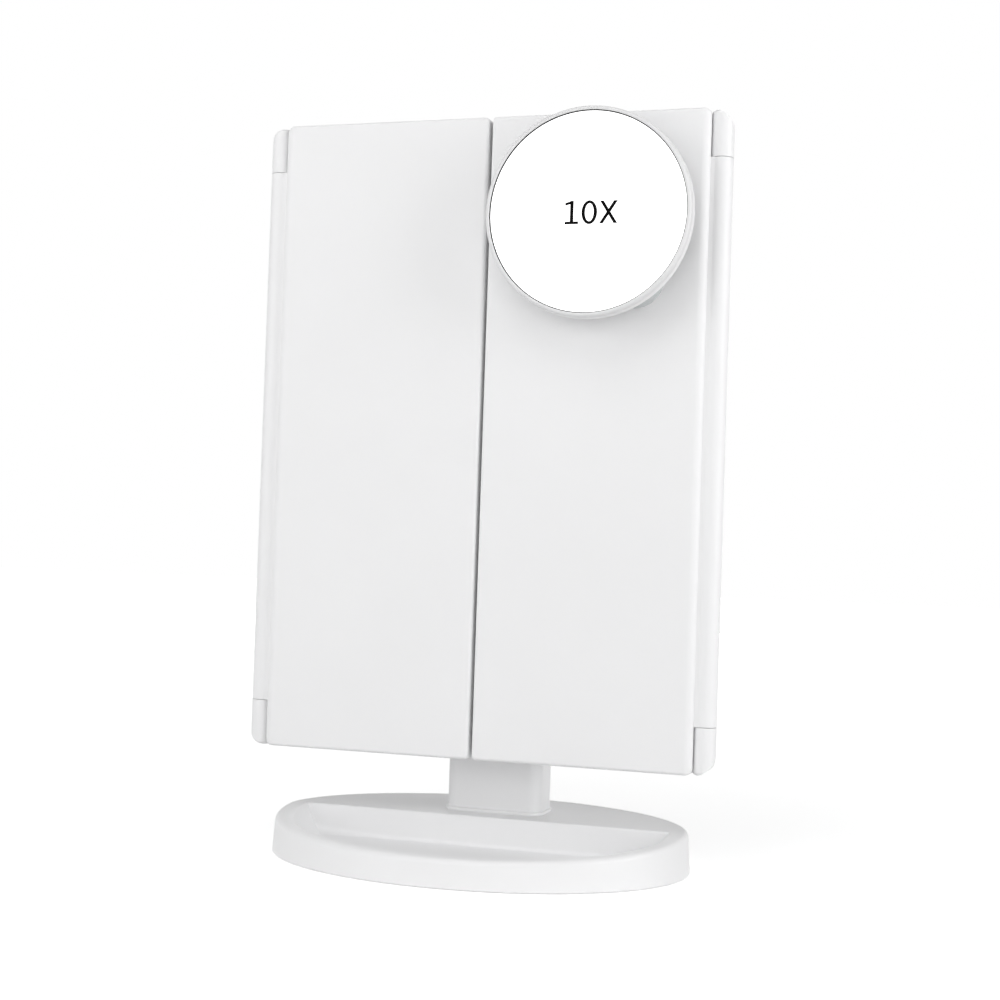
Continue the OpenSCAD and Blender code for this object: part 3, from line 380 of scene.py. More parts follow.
def lighted_mirror(sensor_z, band_x, middle_z, band_half_h):
    material = bpy.data.materials.new("lighted_mirror")
    material.use_nodes = True
    nodes, links = material.node_tree.nodes, material.node_tree.links

    def step(operation, *values):
        return math_node(nodes, links, operation, *values)

    place = nodes.new("ShaderNodeTexCoord")
    split = nodes.new("ShaderNodeSeparateXYZ")
    links.new(place.outputs["Object"], split.inputs[0])
    x, z = split.outputs["X"], split.outputs["Z"]
    beside = step("SUBTRACT", step("ABSOLUTE", x), band_x)
    in_band = step("LESS_THAN", step("ABSOLUTE", beside), LED_BAND_HALF)
    in_height = step("LESS_THAN", step("ABSOLUTE", step("SUBTRACT", z, middle_z)), band_half_h)
    band = step("MULTIPLY", in_band, in_height)
    up = step("SUBTRACT", z, sensor_z)
    reach = step("SQRT", step("ADD", step("MULTIPLY", x, x), step("MULTIPLY", up, up)))
    off_ring = step("ABSOLUTE", step("SUBTRACT", reach, TOUCH_RING))
    ring = step("LESS_THAN", off_ring, TOUCH_LINE)
    mask = step("MAXIMUM", band, ring)
    shader = nodes["Principled BSDF"]
    tint = nodes.new("ShaderNodeMix")
    tint.data_type = "RGBA"
    tint.inputs["A"].default_value = (*SILVER, 1.0)
    tint.inputs["B"].default_value = FROST
    links.new(mask, tint.inputs["Factor"])
    links.new(tint.outputs["Result"], shader.inputs["Base Color"])
    links.new(step("SUBTRACT", 1.0, mask), shader.inputs["Metallic"])
    rough = step("ADD", step("MULTIPLY", mask, FROST_ROUGHNESS), PANE_ROUGHNESS)
    links.new(rough, shader.inputs["Roughness"])
    return material


SENSOR_LOW, SENSOR_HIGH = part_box("touch_sensor")
BAND_LOW, BAND_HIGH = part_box("light_diffusers")
SENSOR_Z = (SENSOR_LOW.z + SENSOR_HIGH.z) / 2
BAND_MIDDLE_Z, BAND_HALF_H = (BAND_LOW.z + BAND_HIGH.z) / 2, (BAND_HIGH.z - BAND_LOW.z) / 2
LIGHTED_MIRROR = lighted_mirror(SENSOR_Z, BAND_HIGH.x - LED_BAND_HALF, BAND_MIDDLE_Z, BAND_HALF_H)
print("sensor ring at z", round(SENSOR_Z, 4), "bands up to x", round(BAND_HIGH.x, 4))

# %% [markdown]
# A bare cell has a plain jacket that leaves the steel ends free. The jacket could be a second
# tube round each cell. A mask needs no more mesh: all four cells stand upright side by side, so
# the height alone says where the jacket ends.

# %% Battery jacket
JACKET_END = 1.6 * MM
BUTTON_H = 1.5 * MM
JACKET_GREY, BARE_STEEL = (0.07, 0.075, 0.08, 1.0), (0.66, 0.66, 0.65, 1.0)
JACKET_ROUGHNESS = 0.32


def battery_jacket():
    material = bpy.data.materials.new("cell_jacket")
    material.use_nodes = True
    nodes, links = material.node_tree.nodes, material.node_tree.links
    low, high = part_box("batteries")
    middle, half = (low.z + high.z) / 2, (high.z - low.z) / 2 - BUTTON_H
    place = nodes.new("ShaderNodeTexCoord")
    split = nodes.new("ShaderNodeSeparateXYZ")
    links.new(place.outputs["Object"], split.inputs[0])
    off = math_node(nodes, links, "SUBTRACT", split.outputs["Z"], middle)
    away = math_node(nodes, links, "ABSOLUTE", off)
    end = math_node(nodes, links, "GREATER_THAN", away, half - JACKET_END)
    tint = nodes.new("ShaderNodeMix")
    tint.data_type = "RGBA"
    tint.inputs["A"].default_value = JACKET_GREY
    tint.inputs["B"].default_value = BARE_STEEL
    links.new(end, tint.inputs["Factor"])
    shader = nodes["Principled BSDF"]
    links.new(tint.outputs["Result"], shader.inputs["Base Color"])
    links.new(end, shader.inputs["Metallic"])
    shader.inputs["Roughness"].default_value = JACKET_ROUGHNESS
    return material


CELL_JACKET = battery_jacket()
print("jacket", CELL_JACKET.name)

# %% [markdown]
# Each construction piece names its finish in the record. Materials could be set piece by piece,
# but one table from finish to material dresses them all and forgets none.

# %% Dress the construction
SLOT_FINISH = {
    "white_abs": WHITE_ABS,
    "inner_plastic": INNER_PLASTIC,
    "black_plastic": BLACK_PLASTIC,
    "pad_rubber": PAD_RUBBER,
    "friction_rubber": FRICTION_RUBBER,
    "ballast_steel": BALLAST_STEEL,
    "screw_steel": SCREW_STEEL,
    "mirror_glass": MIRROR_GLASS,
    "frosted_diffuser": FROSTED,
    "circuit_board": CIRCUIT_BOARD,
    "led_yellow": LED_YELLOW,
    "copper_pad": COPPER_PAD,
    "cell_jacket": CELL_JACKET,
    "clear_cup": CLEAR_CUP,
}
NODE_SLOT = {row["node"]: row["material_slot"] for row in frame["record"]["subparts"]}


def dress_node(name, material):
    node = frame["nodes"][name]
    node.data.materials.clear()
    node.data.materials.append(material)


for node_name, slot_name in NODE_SLOT.items():
    dress_node(node_name, SLOT_FINISH[slot_name])
dress_node("centre_mirror", LIGHTED_MIRROR)
for node_name in ("mirror_1x", "mirror_2x", "mirror_3x"):
    dress_node(node_name, LEAF_MIRROR)
print("dressed", len(NODE_SLOT), "nodes")

# %% [markdown]
# The construction's edges are dead sharp. Moulded and cut edges never are, and a fine light line
# runs along each of them. A piece could be modelled again with its rounds, but for the plain ones
# modifiers are enough: Weld joins the loose triangles, Bevel breaks the edges, and weighted
# normals keep the flats flat.

# %% Break the edges
EDGE_BREAK = {
    "centre_frame": 0.35,
    "rear_housing": 0.4,
    "battery_door": 0.3,
    "left_frame": 0.2,
    "right_frame": 0.2,
    "tilt_bracket": 0.3,
    "neck_core": 0.4,
    "switch_knob": 0.15,
    "switch_body": 0.15,
    "usb_socket": 0.1,
    "battery_plates": 0.1,
    "control_board": 0.1,
    "base_plate": 0.2,
    "base_pad": 0.15,
    "base_weight": 0.3,
    "axle_nut": 0.15,
    "axle_caps": 0.15,
    "tilt_axle": 0.1,
    "leds": 0.05,
    "light_diffusers": 0.1,
}
WELD_REACH = 0.002 * MM
BREAK_FROM = radians(40)
FLATS_WEIGHT = 90


def break_edges(name, width):
    node = frame["nodes"][name]
    node.data.shade_smooth()
    weld = node.modifiers.new("join_triangles", "WELD")
    weld.merge_threshold = WELD_REACH
    bevel = node.modifiers.new("broken_edge", "BEVEL")
    bevel.width = width * MM
    bevel.segments = 2
    bevel.limit_method = "ANGLE"
    bevel.angle_limit = BREAK_FROM
    normals = node.modifiers.new("flat_faces", "WEIGHTED_NORMAL")
    normals.weight = FLATS_WEIGHT


for node_name, edge_width in EDGE_BREAK.items():
    break_edges(node_name, edge_width)
print("edges broken on", len(EDGE_BREAK), "nodes")

# %% [markdown]
# Many pieces are a stack of rings of points, from the foot up, as a potter builds a pot. A mesh
# could also be written as lists of points and faces, where one wrong number leaves a hole. Here
# each new ring is extruded from the last one and its points are put in place, so the whole skin
# is one closed net of four-sided faces.

# %% Ring tools


def first_ring(bm, points):
    ring = bmesh.ops.create_circle(bm, cap_ends=False, segments=len(points), radius=1.0)["verts"]
    for vert, point in zip(ring, points):
        vert.co = point
    return ring


def next_ring(bm, ring, points):
    edges = [bm.edges.get(pair) for pair in zip(ring, ring[1:] + ring[:1])]
    made = bmesh.ops.extrude_edge_only(bm, edges=edges)["geom"]
    old = set(ring)
    above = {}
    for vert in made:
        if isinstance(vert, bmesh.types.BMVert):
            for edge in vert.link_edges:
                if edge.other_vert(vert) in old:
                    above[edge.other_vert(vert)] = vert
    fresh = [above[vert] for vert in ring]
    for vert, point in zip(fresh, points):
        vert.co = point
    return fresh


def stack_rings(bm, rings, closed=False):
    first = ring = first_ring(bm, rings[0])
    for points in rings[1:]:
        ring = next_ring(bm, ring, points)
    if not closed:
        bm.faces.new(first)
        bm.faces.new(ring)
    return first, ring


print("rings:", first_ring.__name__, next_ring.__name__, stack_rings.__name__)

# %% [markdown]
# Every finished mesh goes through one gate, because steps that are repeated by hand get left out:
# doubles are merged, the faces are turned outwards, edges over 35 degrees stay sharp and the rest
# is smooth. Weighted normals keep the flats flat beside a small round.

# %% Finish a piece
SHARP_FROM = radians(35)
MERGE_REACH = 0.0005 * MM


def to_object(bm, name):
    bmesh.ops.remove_doubles(bm, verts=bm.verts, dist=MERGE_REACH)
    bmesh.ops.recalc_face_normals(bm, faces=bm.faces)
    mesh = bpy.data.meshes.new(name)
    bm.to_mesh(mesh)
    bm.free()
    obj = bpy.data.objects.new(name, mesh)
    bpy.context.scene.collection.objects.link(obj)
    return obj


def finish_piece(obj, material, body, nodes=(), weighted=True):
    obj.data.materials.clear()
    obj.data.materials.append(material)
    obj.data.shade_smooth()
    obj.data.set_sharp_from_angle(angle=SHARP_FROM)
    if weighted:
        normals = obj.modifiers.new("flat_faces", "WEIGHTED_NORMAL")
        normals.keep_sharp = True
    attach(obj, body)
    if nodes:
        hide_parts(*nodes)
    print(obj.name, "has", len(obj.data.vertices), "points and rides on", body)


print("edges stay sharp from", round(SHARP_FROM, 3), "radians")

# %% [markdown]
# A Boolean joins or cuts whole bodies, as a mould maker would. It could stay on the piece as a
# live modifier, but then its cutters would stay too. So it runs at once, and the cutters are
# thrown away, so that no helper stays in the scene.

# %% Cut and join


def carve(obj, cutters, operation):
    for cutter in cutters:
        step = obj.modifiers.new(operation.lower(), "BOOLEAN")
        step.operation = operation
        step.object = cutter
        step.solver = "MANIFOLD"
    bpy.context.view_layer.update()
    worked = obj.evaluated_get(bpy.context.evaluated_depsgraph_get())
    carved = bpy.data.meshes.new_from_object(worked)
    obj.modifiers.clear()
    old, obj.data = obj.data, carved
    bpy.data.meshes.remove(old)
    for cutter in cutters:
        bpy.data.objects.remove(cutter)
    return obj


def merged_copy(node, name):
    bm = bmesh.new()
    bm.from_mesh(frame["nodes"][node].data)
    return to_object(bm, name)


print("Boolean tools:", carve.__name__, merged_copy.__name__)

# %% [markdown]
# The base is one moulding: an oval shell whose rim sinks towards the front, with a D-shaped tray
# in front of the column. The tray could be cut with a Boolean, but its edge has a different round
# at each place, which a bevel can't follow. So all rings have the same number of points, and
# every round is only a few more rings. The outer ones are ovals, and the inner ones are ovals
# whose rear part is pressed onto the tray's straight rear edge. Behind the tray the ceiling is
# lifted, which leaves room for the steel ballast.

# %% Base shell
BASE_LOW, BASE_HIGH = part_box("base_tray")
BASE_A, BASE_B, BASE_TOP = BASE_HIGH.x / MM, BASE_HIGH.y / MM, BASE_HIGH.z / MM
BASE_FOOT = BASE_LOW.z / MM
BASE_STEPS = 256
BASE_LEAN = 0.8
BASE_CREST = 2.0
BASE_WALL = 2.4
RIM_FRONT_TOP = 10.2
RIM_FRONT_W = 5.5
RIM_END_W = 8.1
TRAY_BACK = 3.8
TRAY_FLOOR = 3.8
TRAY_FILLET_BACK, TRAY_FILLET_FRONT, TRAY_FILLET_END = 1.6, 2.6, 5.0
TRAY_END_LEAN = 4.5
TRAY_EDGE_R = 0.9
TRAY_END_EDGE_R = 3.0
END_BLEND_FROM, END_BLEND_RUN = 2.0, 14.0
FRONT_TO_BACK = 6
FOOT_EASE_IN, FOOT_EASE_OUT = 0.2, 0.3
POCKET_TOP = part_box("base_plate")[1].z / MM
DECK_T = 2.0
RIM_FALL = (BASE_TOP - RIM_FRONT_TOP) / (BASE_B - BASE_LEAN + TRAY_BACK)


def rim_height(y):
    return BASE_TOP - max(0.0, TRAY_BACK - y) * RIM_FALL


def base_turns():
    return [2 * pi * i / BASE_STEPS for i in range(BASE_STEPS)]


def oval_ring(inward, height, from_rim=False):
    ring = []
    for turn in base_turns():
        x, y = (BASE_A - inward) * cos(turn), (BASE_B - inward) * sin(turn)
        z = rim_height(y) + height if from_rim else height
        ring.append(Vector((x, y, z)) * MM)
    return ring


def tray_point(turn, inward, lean):
    x = (BASE_A - RIM_END_W - lean - inward) * cos(turn)
    y = (BASE_B - RIM_FRONT_W - inward) * sin(turn)
    return x, min(y, TRAY_BACK - inward)


def edge_radius(turn, y):
    """Small along the tray's front and back, and larger round its two ends."""
    end = max(0.0, min(1.0, (-END_BLEND_FROM - y) / END_BLEND_RUN))
    share = cos(turn) ** 4 * end * end * (3 - 2 * end)
    return TRAY_EDGE_R + (TRAY_END_EDGE_R - TRAY_EDGE_R) * share


def tray_edge_ring(angle):
    ring = []
    for turn in base_turns():
        radius = edge_radius(turn, tray_point(turn, 0.0, 0.0)[1])
        x, y = tray_point(turn, -radius * (1 - sin(angle)), 0.0)
        ring.append(Vector((x, y, rim_height(y) - radius * (1 - cos(angle)))) * MM)
    return ring


def fillet_radius(turn):
    """From the front's radius to the back's, and larger in the two ends."""
    side = max(-1.0, min(1.0, FRONT_TO_BACK * sin(turn)))
    more = side * (TRAY_FILLET_BACK - TRAY_FILLET_FRONT)
    radius = (TRAY_FILLET_BACK + TRAY_FILLET_FRONT + more) / 2
    return radius + (TRAY_FILLET_END - radius) * cos(turn) ** 6


def tray_fillet_ring(angle):
    ring = []
    for turn in base_turns():
        radius = fillet_radius(turn)
        height = TRAY_FLOOR + radius * (1 - cos(pi / 2 - angle))
        lean = TRAY_END_LEAN * (BASE_TOP - height) / (BASE_TOP - TRAY_FLOOR)
        x, y = tray_point(turn, radius * (1 - sin(pi / 2 - angle)), lean)
        ring.append(Vector((x, y, height)) * MM)
    return ring


def base_rings():
    arc = [radians(angle) for angle in range(0, 91, 15)]
    rings = [oval_ring(BASE_WALL, POCKET_TOP), oval_ring(BASE_WALL, BASE_FOOT + FOOT_EASE_IN)]
    rings += [oval_ring(BASE_WALL - FOOT_EASE_IN, BASE_FOOT), oval_ring(FOOT_EASE_OUT, BASE_FOOT)]
    rings.append(oval_ring(0.0, BASE_FOOT + FOOT_EASE_OUT))
    for angle in arc:
        inward = BASE_LEAN + BASE_CREST * (1 - cos(angle))
        rings.append(oval_ring(inward, BASE_CREST * (sin(angle) - 1), from_rim=True))
    rings += [tray_edge_ring(angle) for angle in arc]
    rings += [tray_fillet_ring(angle) for angle in arc]
    return rings


def ballast_room(bm, ceiling):
    cut = bmesh.ops.bisect_plane(bm, geom=[ceiling] + list(ceiling.edges) + list(ceiling.verts),
                                 plane_co=(0, (TRAY_BACK + BASE_WALL) * MM, 0), plane_no=(0, 1, 0))
    rear = max((f for f in cut["geom"] if isinstance(f, bmesh.types.BMFace)),
               key=lambda face: face.calc_center_median().y)
    bmesh.ops.inset_region(bm, faces=[rear], thickness=BASE_LEAN * MM, use_even_offset=True)
    lifted = bmesh.ops.extrude_face_region(bm, geom=[rear])["geom"]
    points = [v for v in lifted if isinstance(v, bmesh.types.BMVert)]
    bmesh.ops.translate(bm, verts=points, vec=(0, 0, (BASE_TOP - DECK_T - POCKET_TOP) * MM))
    bmesh.ops.delete(bm, geom=[rear], context="FACES_ONLY")


def build_base():
    bm = bmesh.new()
    first, last = stack_rings(bm, base_rings(), closed=True)
    bm.faces.new(last)
    ballast_room(bm, bm.faces.new(first))
    finish_piece(to_object(bm, "base_shell"), WHITE_ABS, "stand", ["base_tray"])


build_base()

# %% [markdown]
# The column is a sleeve with a slightly bulged front and a small lip round its foot. A bevelled
# box has the corners but not the bulge, so it is the same stack of rings, on a rectangle with
# round corners. The sleeve ends in a square hole that the inner post comes out of.

# %% Column sleeve
SLEEVE_LOW, SLEEVE_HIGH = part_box("neck_sleeve")
NECK_W, NECK_D, NECK_CORNER = 38.0, 20.0, 4.5
NECK_CROWN = 0.8
NECK_WALL = 2.0
FOOT_LIP, FOOT_H = 0.9, 1.2
LIP_EASE, LIP_RISE, LIP_KEPT = 0.1, 0.15, 0.4
COVE_W, COVE_LOW, COVE_HIGH = 0.12, 0.1, 0.5
NECK_MIDDLE_Y = (SLEEVE_LOW.y + SLEEVE_HIGH.y) / 2 / MM
CORNER_STEPS = 8
FRONT_STEPS = 12
POST_GAP = 0.2
HOLE_CORNER, HOLE_INSET = 0.3, 4
TOP_ROUND = 1


def column_ring(width, depth, corner, height, crown):
    points = []
    for quarter, (sx, sy) in enumerate(((1, 1), (-1, 1), (-1, -1), (1, -1))):
        for step in range(CORNER_STEPS + 1):
            angle = pi / 2 * (quarter + step / CORNER_STEPS)
            points.append((sx * (width / 2 - corner) + corner * cos(angle),
                           sy * (depth / 2 - corner) + corner * sin(angle)))
        if (sx, sy) == (-1, -1):
            reach = width / 2 - corner
            points += [(-reach + 2 * reach * step / FRONT_STEPS, -depth / 2)
                       for step in range(1, FRONT_STEPS)]
    ring = []
    for x, y in points:
        if y < 0:
            y += crown * (2 * x / width) ** 2
        ring.append(Vector((x, NECK_MIDDLE_Y + y, height)) * MM)
    return ring


def build_column():
    foot, top = SLEEVE_LOW.z / MM, SLEEVE_HIGH.z / MM

    def outside(grow, height):
        return column_ring(NECK_W + 2 * grow, NECK_D + 2 * grow, NECK_CORNER + grow, height,
                           NECK_CROWN)

    inner = (NECK_W - 2 * NECK_WALL, NECK_D - 2 * NECK_WALL, NECK_CORNER - NECK_WALL)
    post_low, post_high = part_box("neck_core")
    hole_w = (post_high.x - post_low.x) / MM + 2 * POST_GAP
    hole_d = NECK_D - 2 * NECK_WALL - HOLE_INSET + 2 * POST_GAP
    rings = [outside(FOOT_LIP - LIP_EASE, foot), outside(FOOT_LIP, foot + LIP_RISE)]
    for angle in (30, 60, 90):
        turn = radians(angle)
        rings.append(outside(FOOT_LIP * (LIP_KEPT + (1 - LIP_KEPT) * cos(turn)),
                             foot + FOOT_H * (1 + sin(turn)) / 2))
    rings.append(outside(COVE_W, foot + FOOT_H + COVE_LOW))
    rings.append(outside(0.0, foot + FOOT_H + COVE_HIGH))
    for angle in (0, 30, 60, 90):
        turn = radians(angle)
        rings.append(outside(TOP_ROUND * (cos(turn) - 1), top + TOP_ROUND * (sin(turn) - 1)))
    rings.append(column_ring(hole_w, hole_d, HOLE_CORNER, top, 0.0))
    rings.append(column_ring(hole_w, hole_d, HOLE_CORNER, top - NECK_WALL, 0.0))
    for height in (top - NECK_WALL, foot):
        rings.append(column_ring(*inner, height, 0.0))
    bm = bmesh.new()
    first, last = stack_rings(bm, rings, closed=True)
    bmesh.ops.bridge_loops(bm, edges=[bm.edges.get(pair) for ring in (first, last)
                                      for pair in zip(ring, ring[1:] + ring[:1])])
    finish_piece(to_object(bm, "column_sleeve"), WHITE_ABS, "stand", ["neck_sleeve"])


build_column()

# %% [markdown]
# A leaf's cover is a shallow tray moulded in one with its hinge barrel. A bevelled box would roll
# all its edges alike, and the real one is rolled wider and deeper beside the hinge. So its rings
# run from the hollow's floor, round the back edge, and over the rolled front edge, and each point
# knows how near the hinge it is. The barrel and its web are joined on, and the room for the
# knuckles and pins is bored out. The left leaf is the right one, mirrored.

# %% Leaf covers
COVER_LOW, COVER_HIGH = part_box("right_cover")
LEAF_LOW_X, LEAF_FACE = COVER_LOW.x / MM, COVER_LOW.y / MM
PANEL_LOW, PANEL_HIGH = COVER_LOW.z / MM, COVER_HIGH.z / MM
BARREL_R = 4.2
HINGE_X = COVER_HIGH.x / MM - BARREL_R
HINGE_Y = LEAF_FACE + 5.4
LEAF_HIGH_X = HINGE_X - BARREL_R + 1.0
LEAF_SHELL = 6.4
LEAF_SKIN = 1.8
LEAF_RIM = 3.3
LEAF_ROLL = 1.3
SIDE_ROLL_W, SIDE_ROLL_DEPTH = 3.6, 3.0
LEAF_CORNER, HINGE_CORNER, HOLLOW_CORNER, CORNER_POINTS = 1.7, 3.0, 1.0, 8
WEB_DEPTH, WEB_ROOT = 1.75, 1.5
KNUCKLE_H, KNUCKLE_DROP, KNUCKLE_SLIT = 17.2, 0.5, 0.15
BARREL_LOW = PANEL_LOW + KNUCKLE_H + KNUCKLE_SLIT
BARREL_HIGH = PANEL_HIGH - KNUCKLE_DROP - KNUCKLE_H - KNUCKLE_SLIT
BARREL_SIDES, BARREL_EDGE = 96, 0.2
PIN_BORE, PIN_DEPTH, BORE_SIDES = 1.3, 10.5, 32
KNUCKLE_ROOM = BARREL_R + 0.8


def box_mesh(bm, low, high):
    cube = bmesh.ops.create_cube(bm, size=1.0)["verts"]
    low, high = Vector(low) * MM, Vector(high) * MM
    bmesh.ops.scale(bm, verts=cube, vec=high - low)
    bmesh.ops.translate(bm, verts=cube, vec=(low + high) / 2)
    return cube


def round_bar(name, x, y, radius, z0, z1, sides=BARREL_SIDES, edge=0.0):
    bm = bmesh.new()
    bmesh.ops.create_cone(bm, cap_ends=True, segments=sides, radius1=radius * MM,
                          radius2=radius * MM, depth=(z1 - z0) * MM)
    bmesh.ops.translate(bm, verts=bm.verts, vec=Vector((x, y, (z0 + z1) / 2)) * MM)
    if edge:
        rims = [e for e in bm.edges if abs(e.verts[0].co.z - e.verts[1].co.z) < 1e-7]
        bmesh.ops.bevel(bm, geom=rims, offset=edge * MM, offset_type="OFFSET", segments=3,
                        profile=0.5, affect="EDGES", material=-1)
    return to_object(bm, name)


def leaf_outline(inset, hinge_inset, free_corner, hinge_corner, depth, hinge_depth):
    """A rectangle with round corners. Each point knows how much it belongs to the hinge side."""
    low_x, high_x = LEAF_LOW_X + inset, LEAF_HIGH_X - hinge_inset
    low_z, high_z = PANEL_LOW + inset, PANEL_HIGH - inset
    ring = []
    for quarter, (sx, sz) in enumerate(((1, 1), (-1, 1), (-1, -1), (1, -1))):
        corner = hinge_corner if sx > 0 else free_corner
        middle_x = high_x - corner if sx > 0 else low_x + corner
        middle_z = high_z - corner if sz > 0 else low_z + corner
        for step in range(CORNER_POINTS):
            turn = pi / 2 * (quarter + step / (CORNER_POINTS - 1))
            share = max(0.0, cos(turn)) ** 2 if sx > 0 else 0.0
            x, z = middle_x + corner * cos(turn), middle_z + corner * sin(turn)
            ring.append(Vector((x, LEAF_FACE + depth + (hinge_depth - depth) * share, z)) * MM)
    return ring


def leaf_tray():
    inner = (LEAF_RIM, LEAF_RIM, HOLLOW_CORNER, HOLLOW_CORNER)
    rings = [leaf_outline(*inner, LEAF_SKIN, LEAF_SKIN),
             leaf_outline(*inner, LEAF_SHELL, LEAF_SHELL),
             leaf_outline(0.0, 0.0, LEAF_CORNER, HINGE_CORNER, LEAF_SHELL, LEAF_SHELL)]
    for angle in range(0, 91, 10):
        wide, deep = 1 - cos(radians(angle)), 1 - sin(radians(angle))
        inset = LEAF_ROLL * wide
        rings.append(leaf_outline(inset, SIDE_ROLL_W * wide, LEAF_CORNER - inset,
                                  HINGE_CORNER - inset, LEAF_ROLL * deep, SIDE_ROLL_DEPTH * deep))
    bm = bmesh.new()
    stack_rings(bm, rings)
    return to_object(bm, "leaf_tray")


def leaf_web():
    bm = bmesh.new()
    box_mesh(bm, (LEAF_HIGH_X - WEB_ROOT, LEAF_FACE + WEB_DEPTH, BARREL_LOW),
             (HINGE_X, COVER_HIGH.y / MM, BARREL_HIGH))
    return to_object(bm, "leaf_web")


def leaf_cover():
    cover = leaf_tray()
    barrel = round_bar("barrel", HINGE_X, HINGE_Y, BARREL_R, BARREL_LOW, BARREL_HIGH,
                       edge=BARREL_EDGE)
    carve(cover, [leaf_web(), barrel], "UNION")
    rooms = [round_bar("room", HINGE_X, HINGE_Y, KNUCKLE_ROOM, PANEL_LOW - 1, BARREL_LOW),
             round_bar("room", HINGE_X, HINGE_Y, KNUCKLE_ROOM, BARREL_HIGH, PANEL_HIGH + 1)]
    bores = [round_bar("bore", HINGE_X, HINGE_Y, PIN_BORE, z0, z1, BORE_SIDES)
             for z0, z1 in ((BARREL_LOW - 1, BARREL_LOW + PIN_DEPTH),
                            (BARREL_HIGH - PIN_DEPTH, BARREL_HIGH + 1))]
    return carve(cover, rooms + bores, "DIFFERENCE")


def build_leaves():
    right = leaf_cover()
    right.name = "right_leaf_cover"
    left = bpy.data.objects.new("left_leaf_cover", right.data.copy())
    bpy.context.scene.collection.objects.link(left)
    left.data.transform(Matrix.Scale(-1, 4, (1, 0, 0)))
    left.data.flip_normals()
    finish_piece(right, WHITE_ABS, "right_leaf", ["right_cover"])
    finish_piece(left, WHITE_ABS, "left_leaf", ["left_cover"])


build_leaves()

# %% [markdown]
# Round things are turned: a half section is drawn beside the axis and spun round it once. Stacked
# cylinders could come close, but a section shows the whole profile in one list. It is closed, so
# the skin is closed too.

# %% Turning


def arc(centre_r, centre_d, radius, start, end, steps=6):
    """Points of a section's round stretch. An angle of 0 is outwards and 90 degrees backwards."""
    turns = [radians(start + (end - start) * step / steps) for step in range(steps + 1)]
    return [(centre_r + radius * cos(turn), centre_d + radius * sin(turn)) for turn in turns]


def turned(bm, section, centre, steps):
    verts = [bm.verts.new((centre.x + r * MM, centre.y + d * MM, centre.z)) for r, d in section]
    edges = [bm.edges.new(pair) for pair in zip(verts, verts[1:] + verts[:1])]
    bmesh.ops.spin(bm, geom=verts + edges, cent=centre, axis=(0, 1, 0), angle=2 * pi, steps=steps,
                   use_merge=True, use_duplicate=False)


print("a quarter round's section:", [(round(r, 2), round(d, 2)) for r, d in arc(0, 0, 1, 0, 90, 2)])

# %% [markdown]
# The spot mirror is a shallow cup with a front ring. One turned body would do, but the real ones
# are two mouldings with a fine seam between them. The ring's nose is round, and its inner wall is
# coloured black as painted shade: it draws the dark line of the shadowed gap round the glass. The
# line is wider at the upper left, where the camera looks onto that wall.

# %% Spot mirror housing and ring
SPOT_LOW, SPOT_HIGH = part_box("spot_rim")
SPOT_R = (SPOT_HIGH.x - SPOT_LOW.x) / 2 / MM
SPOT_CENTRE = Vector(((SPOT_LOW.x + SPOT_HIGH.x) / 2, SPOT_LOW.y, (SPOT_LOW.z + SPOT_HIGH.z) / 2))
SPOT_STEPS = 160
SPOT_DEPTH = (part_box("spot_housing")[1].y - SPOT_LOW.y) / MM
RING_T, NOSE_R, BACK_R = 3.0, 1.1, 2.5
SEAT_R, SEAT_D, GLASS_SEAT = 36.5, 2.1, 34.0
SEAM_BREAK = 0.18
LIP_R, LIP_FROM = 0.3, 0.35
HOUSING_WALL, HOUSING_FLOOR = 3.2, 2
WALL_REACH = 0.02
CUP_COUNT, CUP_RING, CUP_TURN = 3, 26.2, 56.0
STUD_R, STUD_SINK, HOLE_SIDES = 2.4, 2.0, 32


def cup_centres():
    turns = [radians(CUP_TURN + 360 * index / CUP_COUNT) for index in range(CUP_COUNT)]
    return [SPOT_CENTRE + Vector((cos(t), 0, -sin(t))) * CUP_RING * MM for t in turns]


def build_ring():
    section = [(GLASS_SEAT, RING_T), (GLASS_SEAT, SEAT_D), (SEAT_R, SEAT_D), (SEAT_R, LIP_FROM)]
    section += arc(SEAT_R + LIP_R, LIP_FROM, LIP_R, 180, 250, 3)
    section += arc(SPOT_R - NOSE_R, NOSE_R, NOSE_R, 270, 360)
    section += [(SPOT_R, RING_T - SEAM_BREAK), (SPOT_R - SEAM_BREAK, RING_T)]
    bm = bmesh.new()
    turned(bm, section, SPOT_CENTRE, SPOT_STEPS)
    ring = to_object(bm, "spot_ring")
    finish_piece(ring, RING_PAINTED_SHADE_WHITE, "spot_mirror", ["spot_rim"])
    # Painted shade: the inner wall round the glass is coloured black to draw the gap's dark line.
    ring.data.materials.append(BLACK_PLASTIC)
    for face in ring.data.polygons:
        off = face.center - SPOT_CENTRE
        reach = sqrt(off.x ** 2 + off.z ** 2) / MM
        if reach < SEAT_R + WALL_REACH and off.y / MM > LIP_R:
            face.material_index = 1


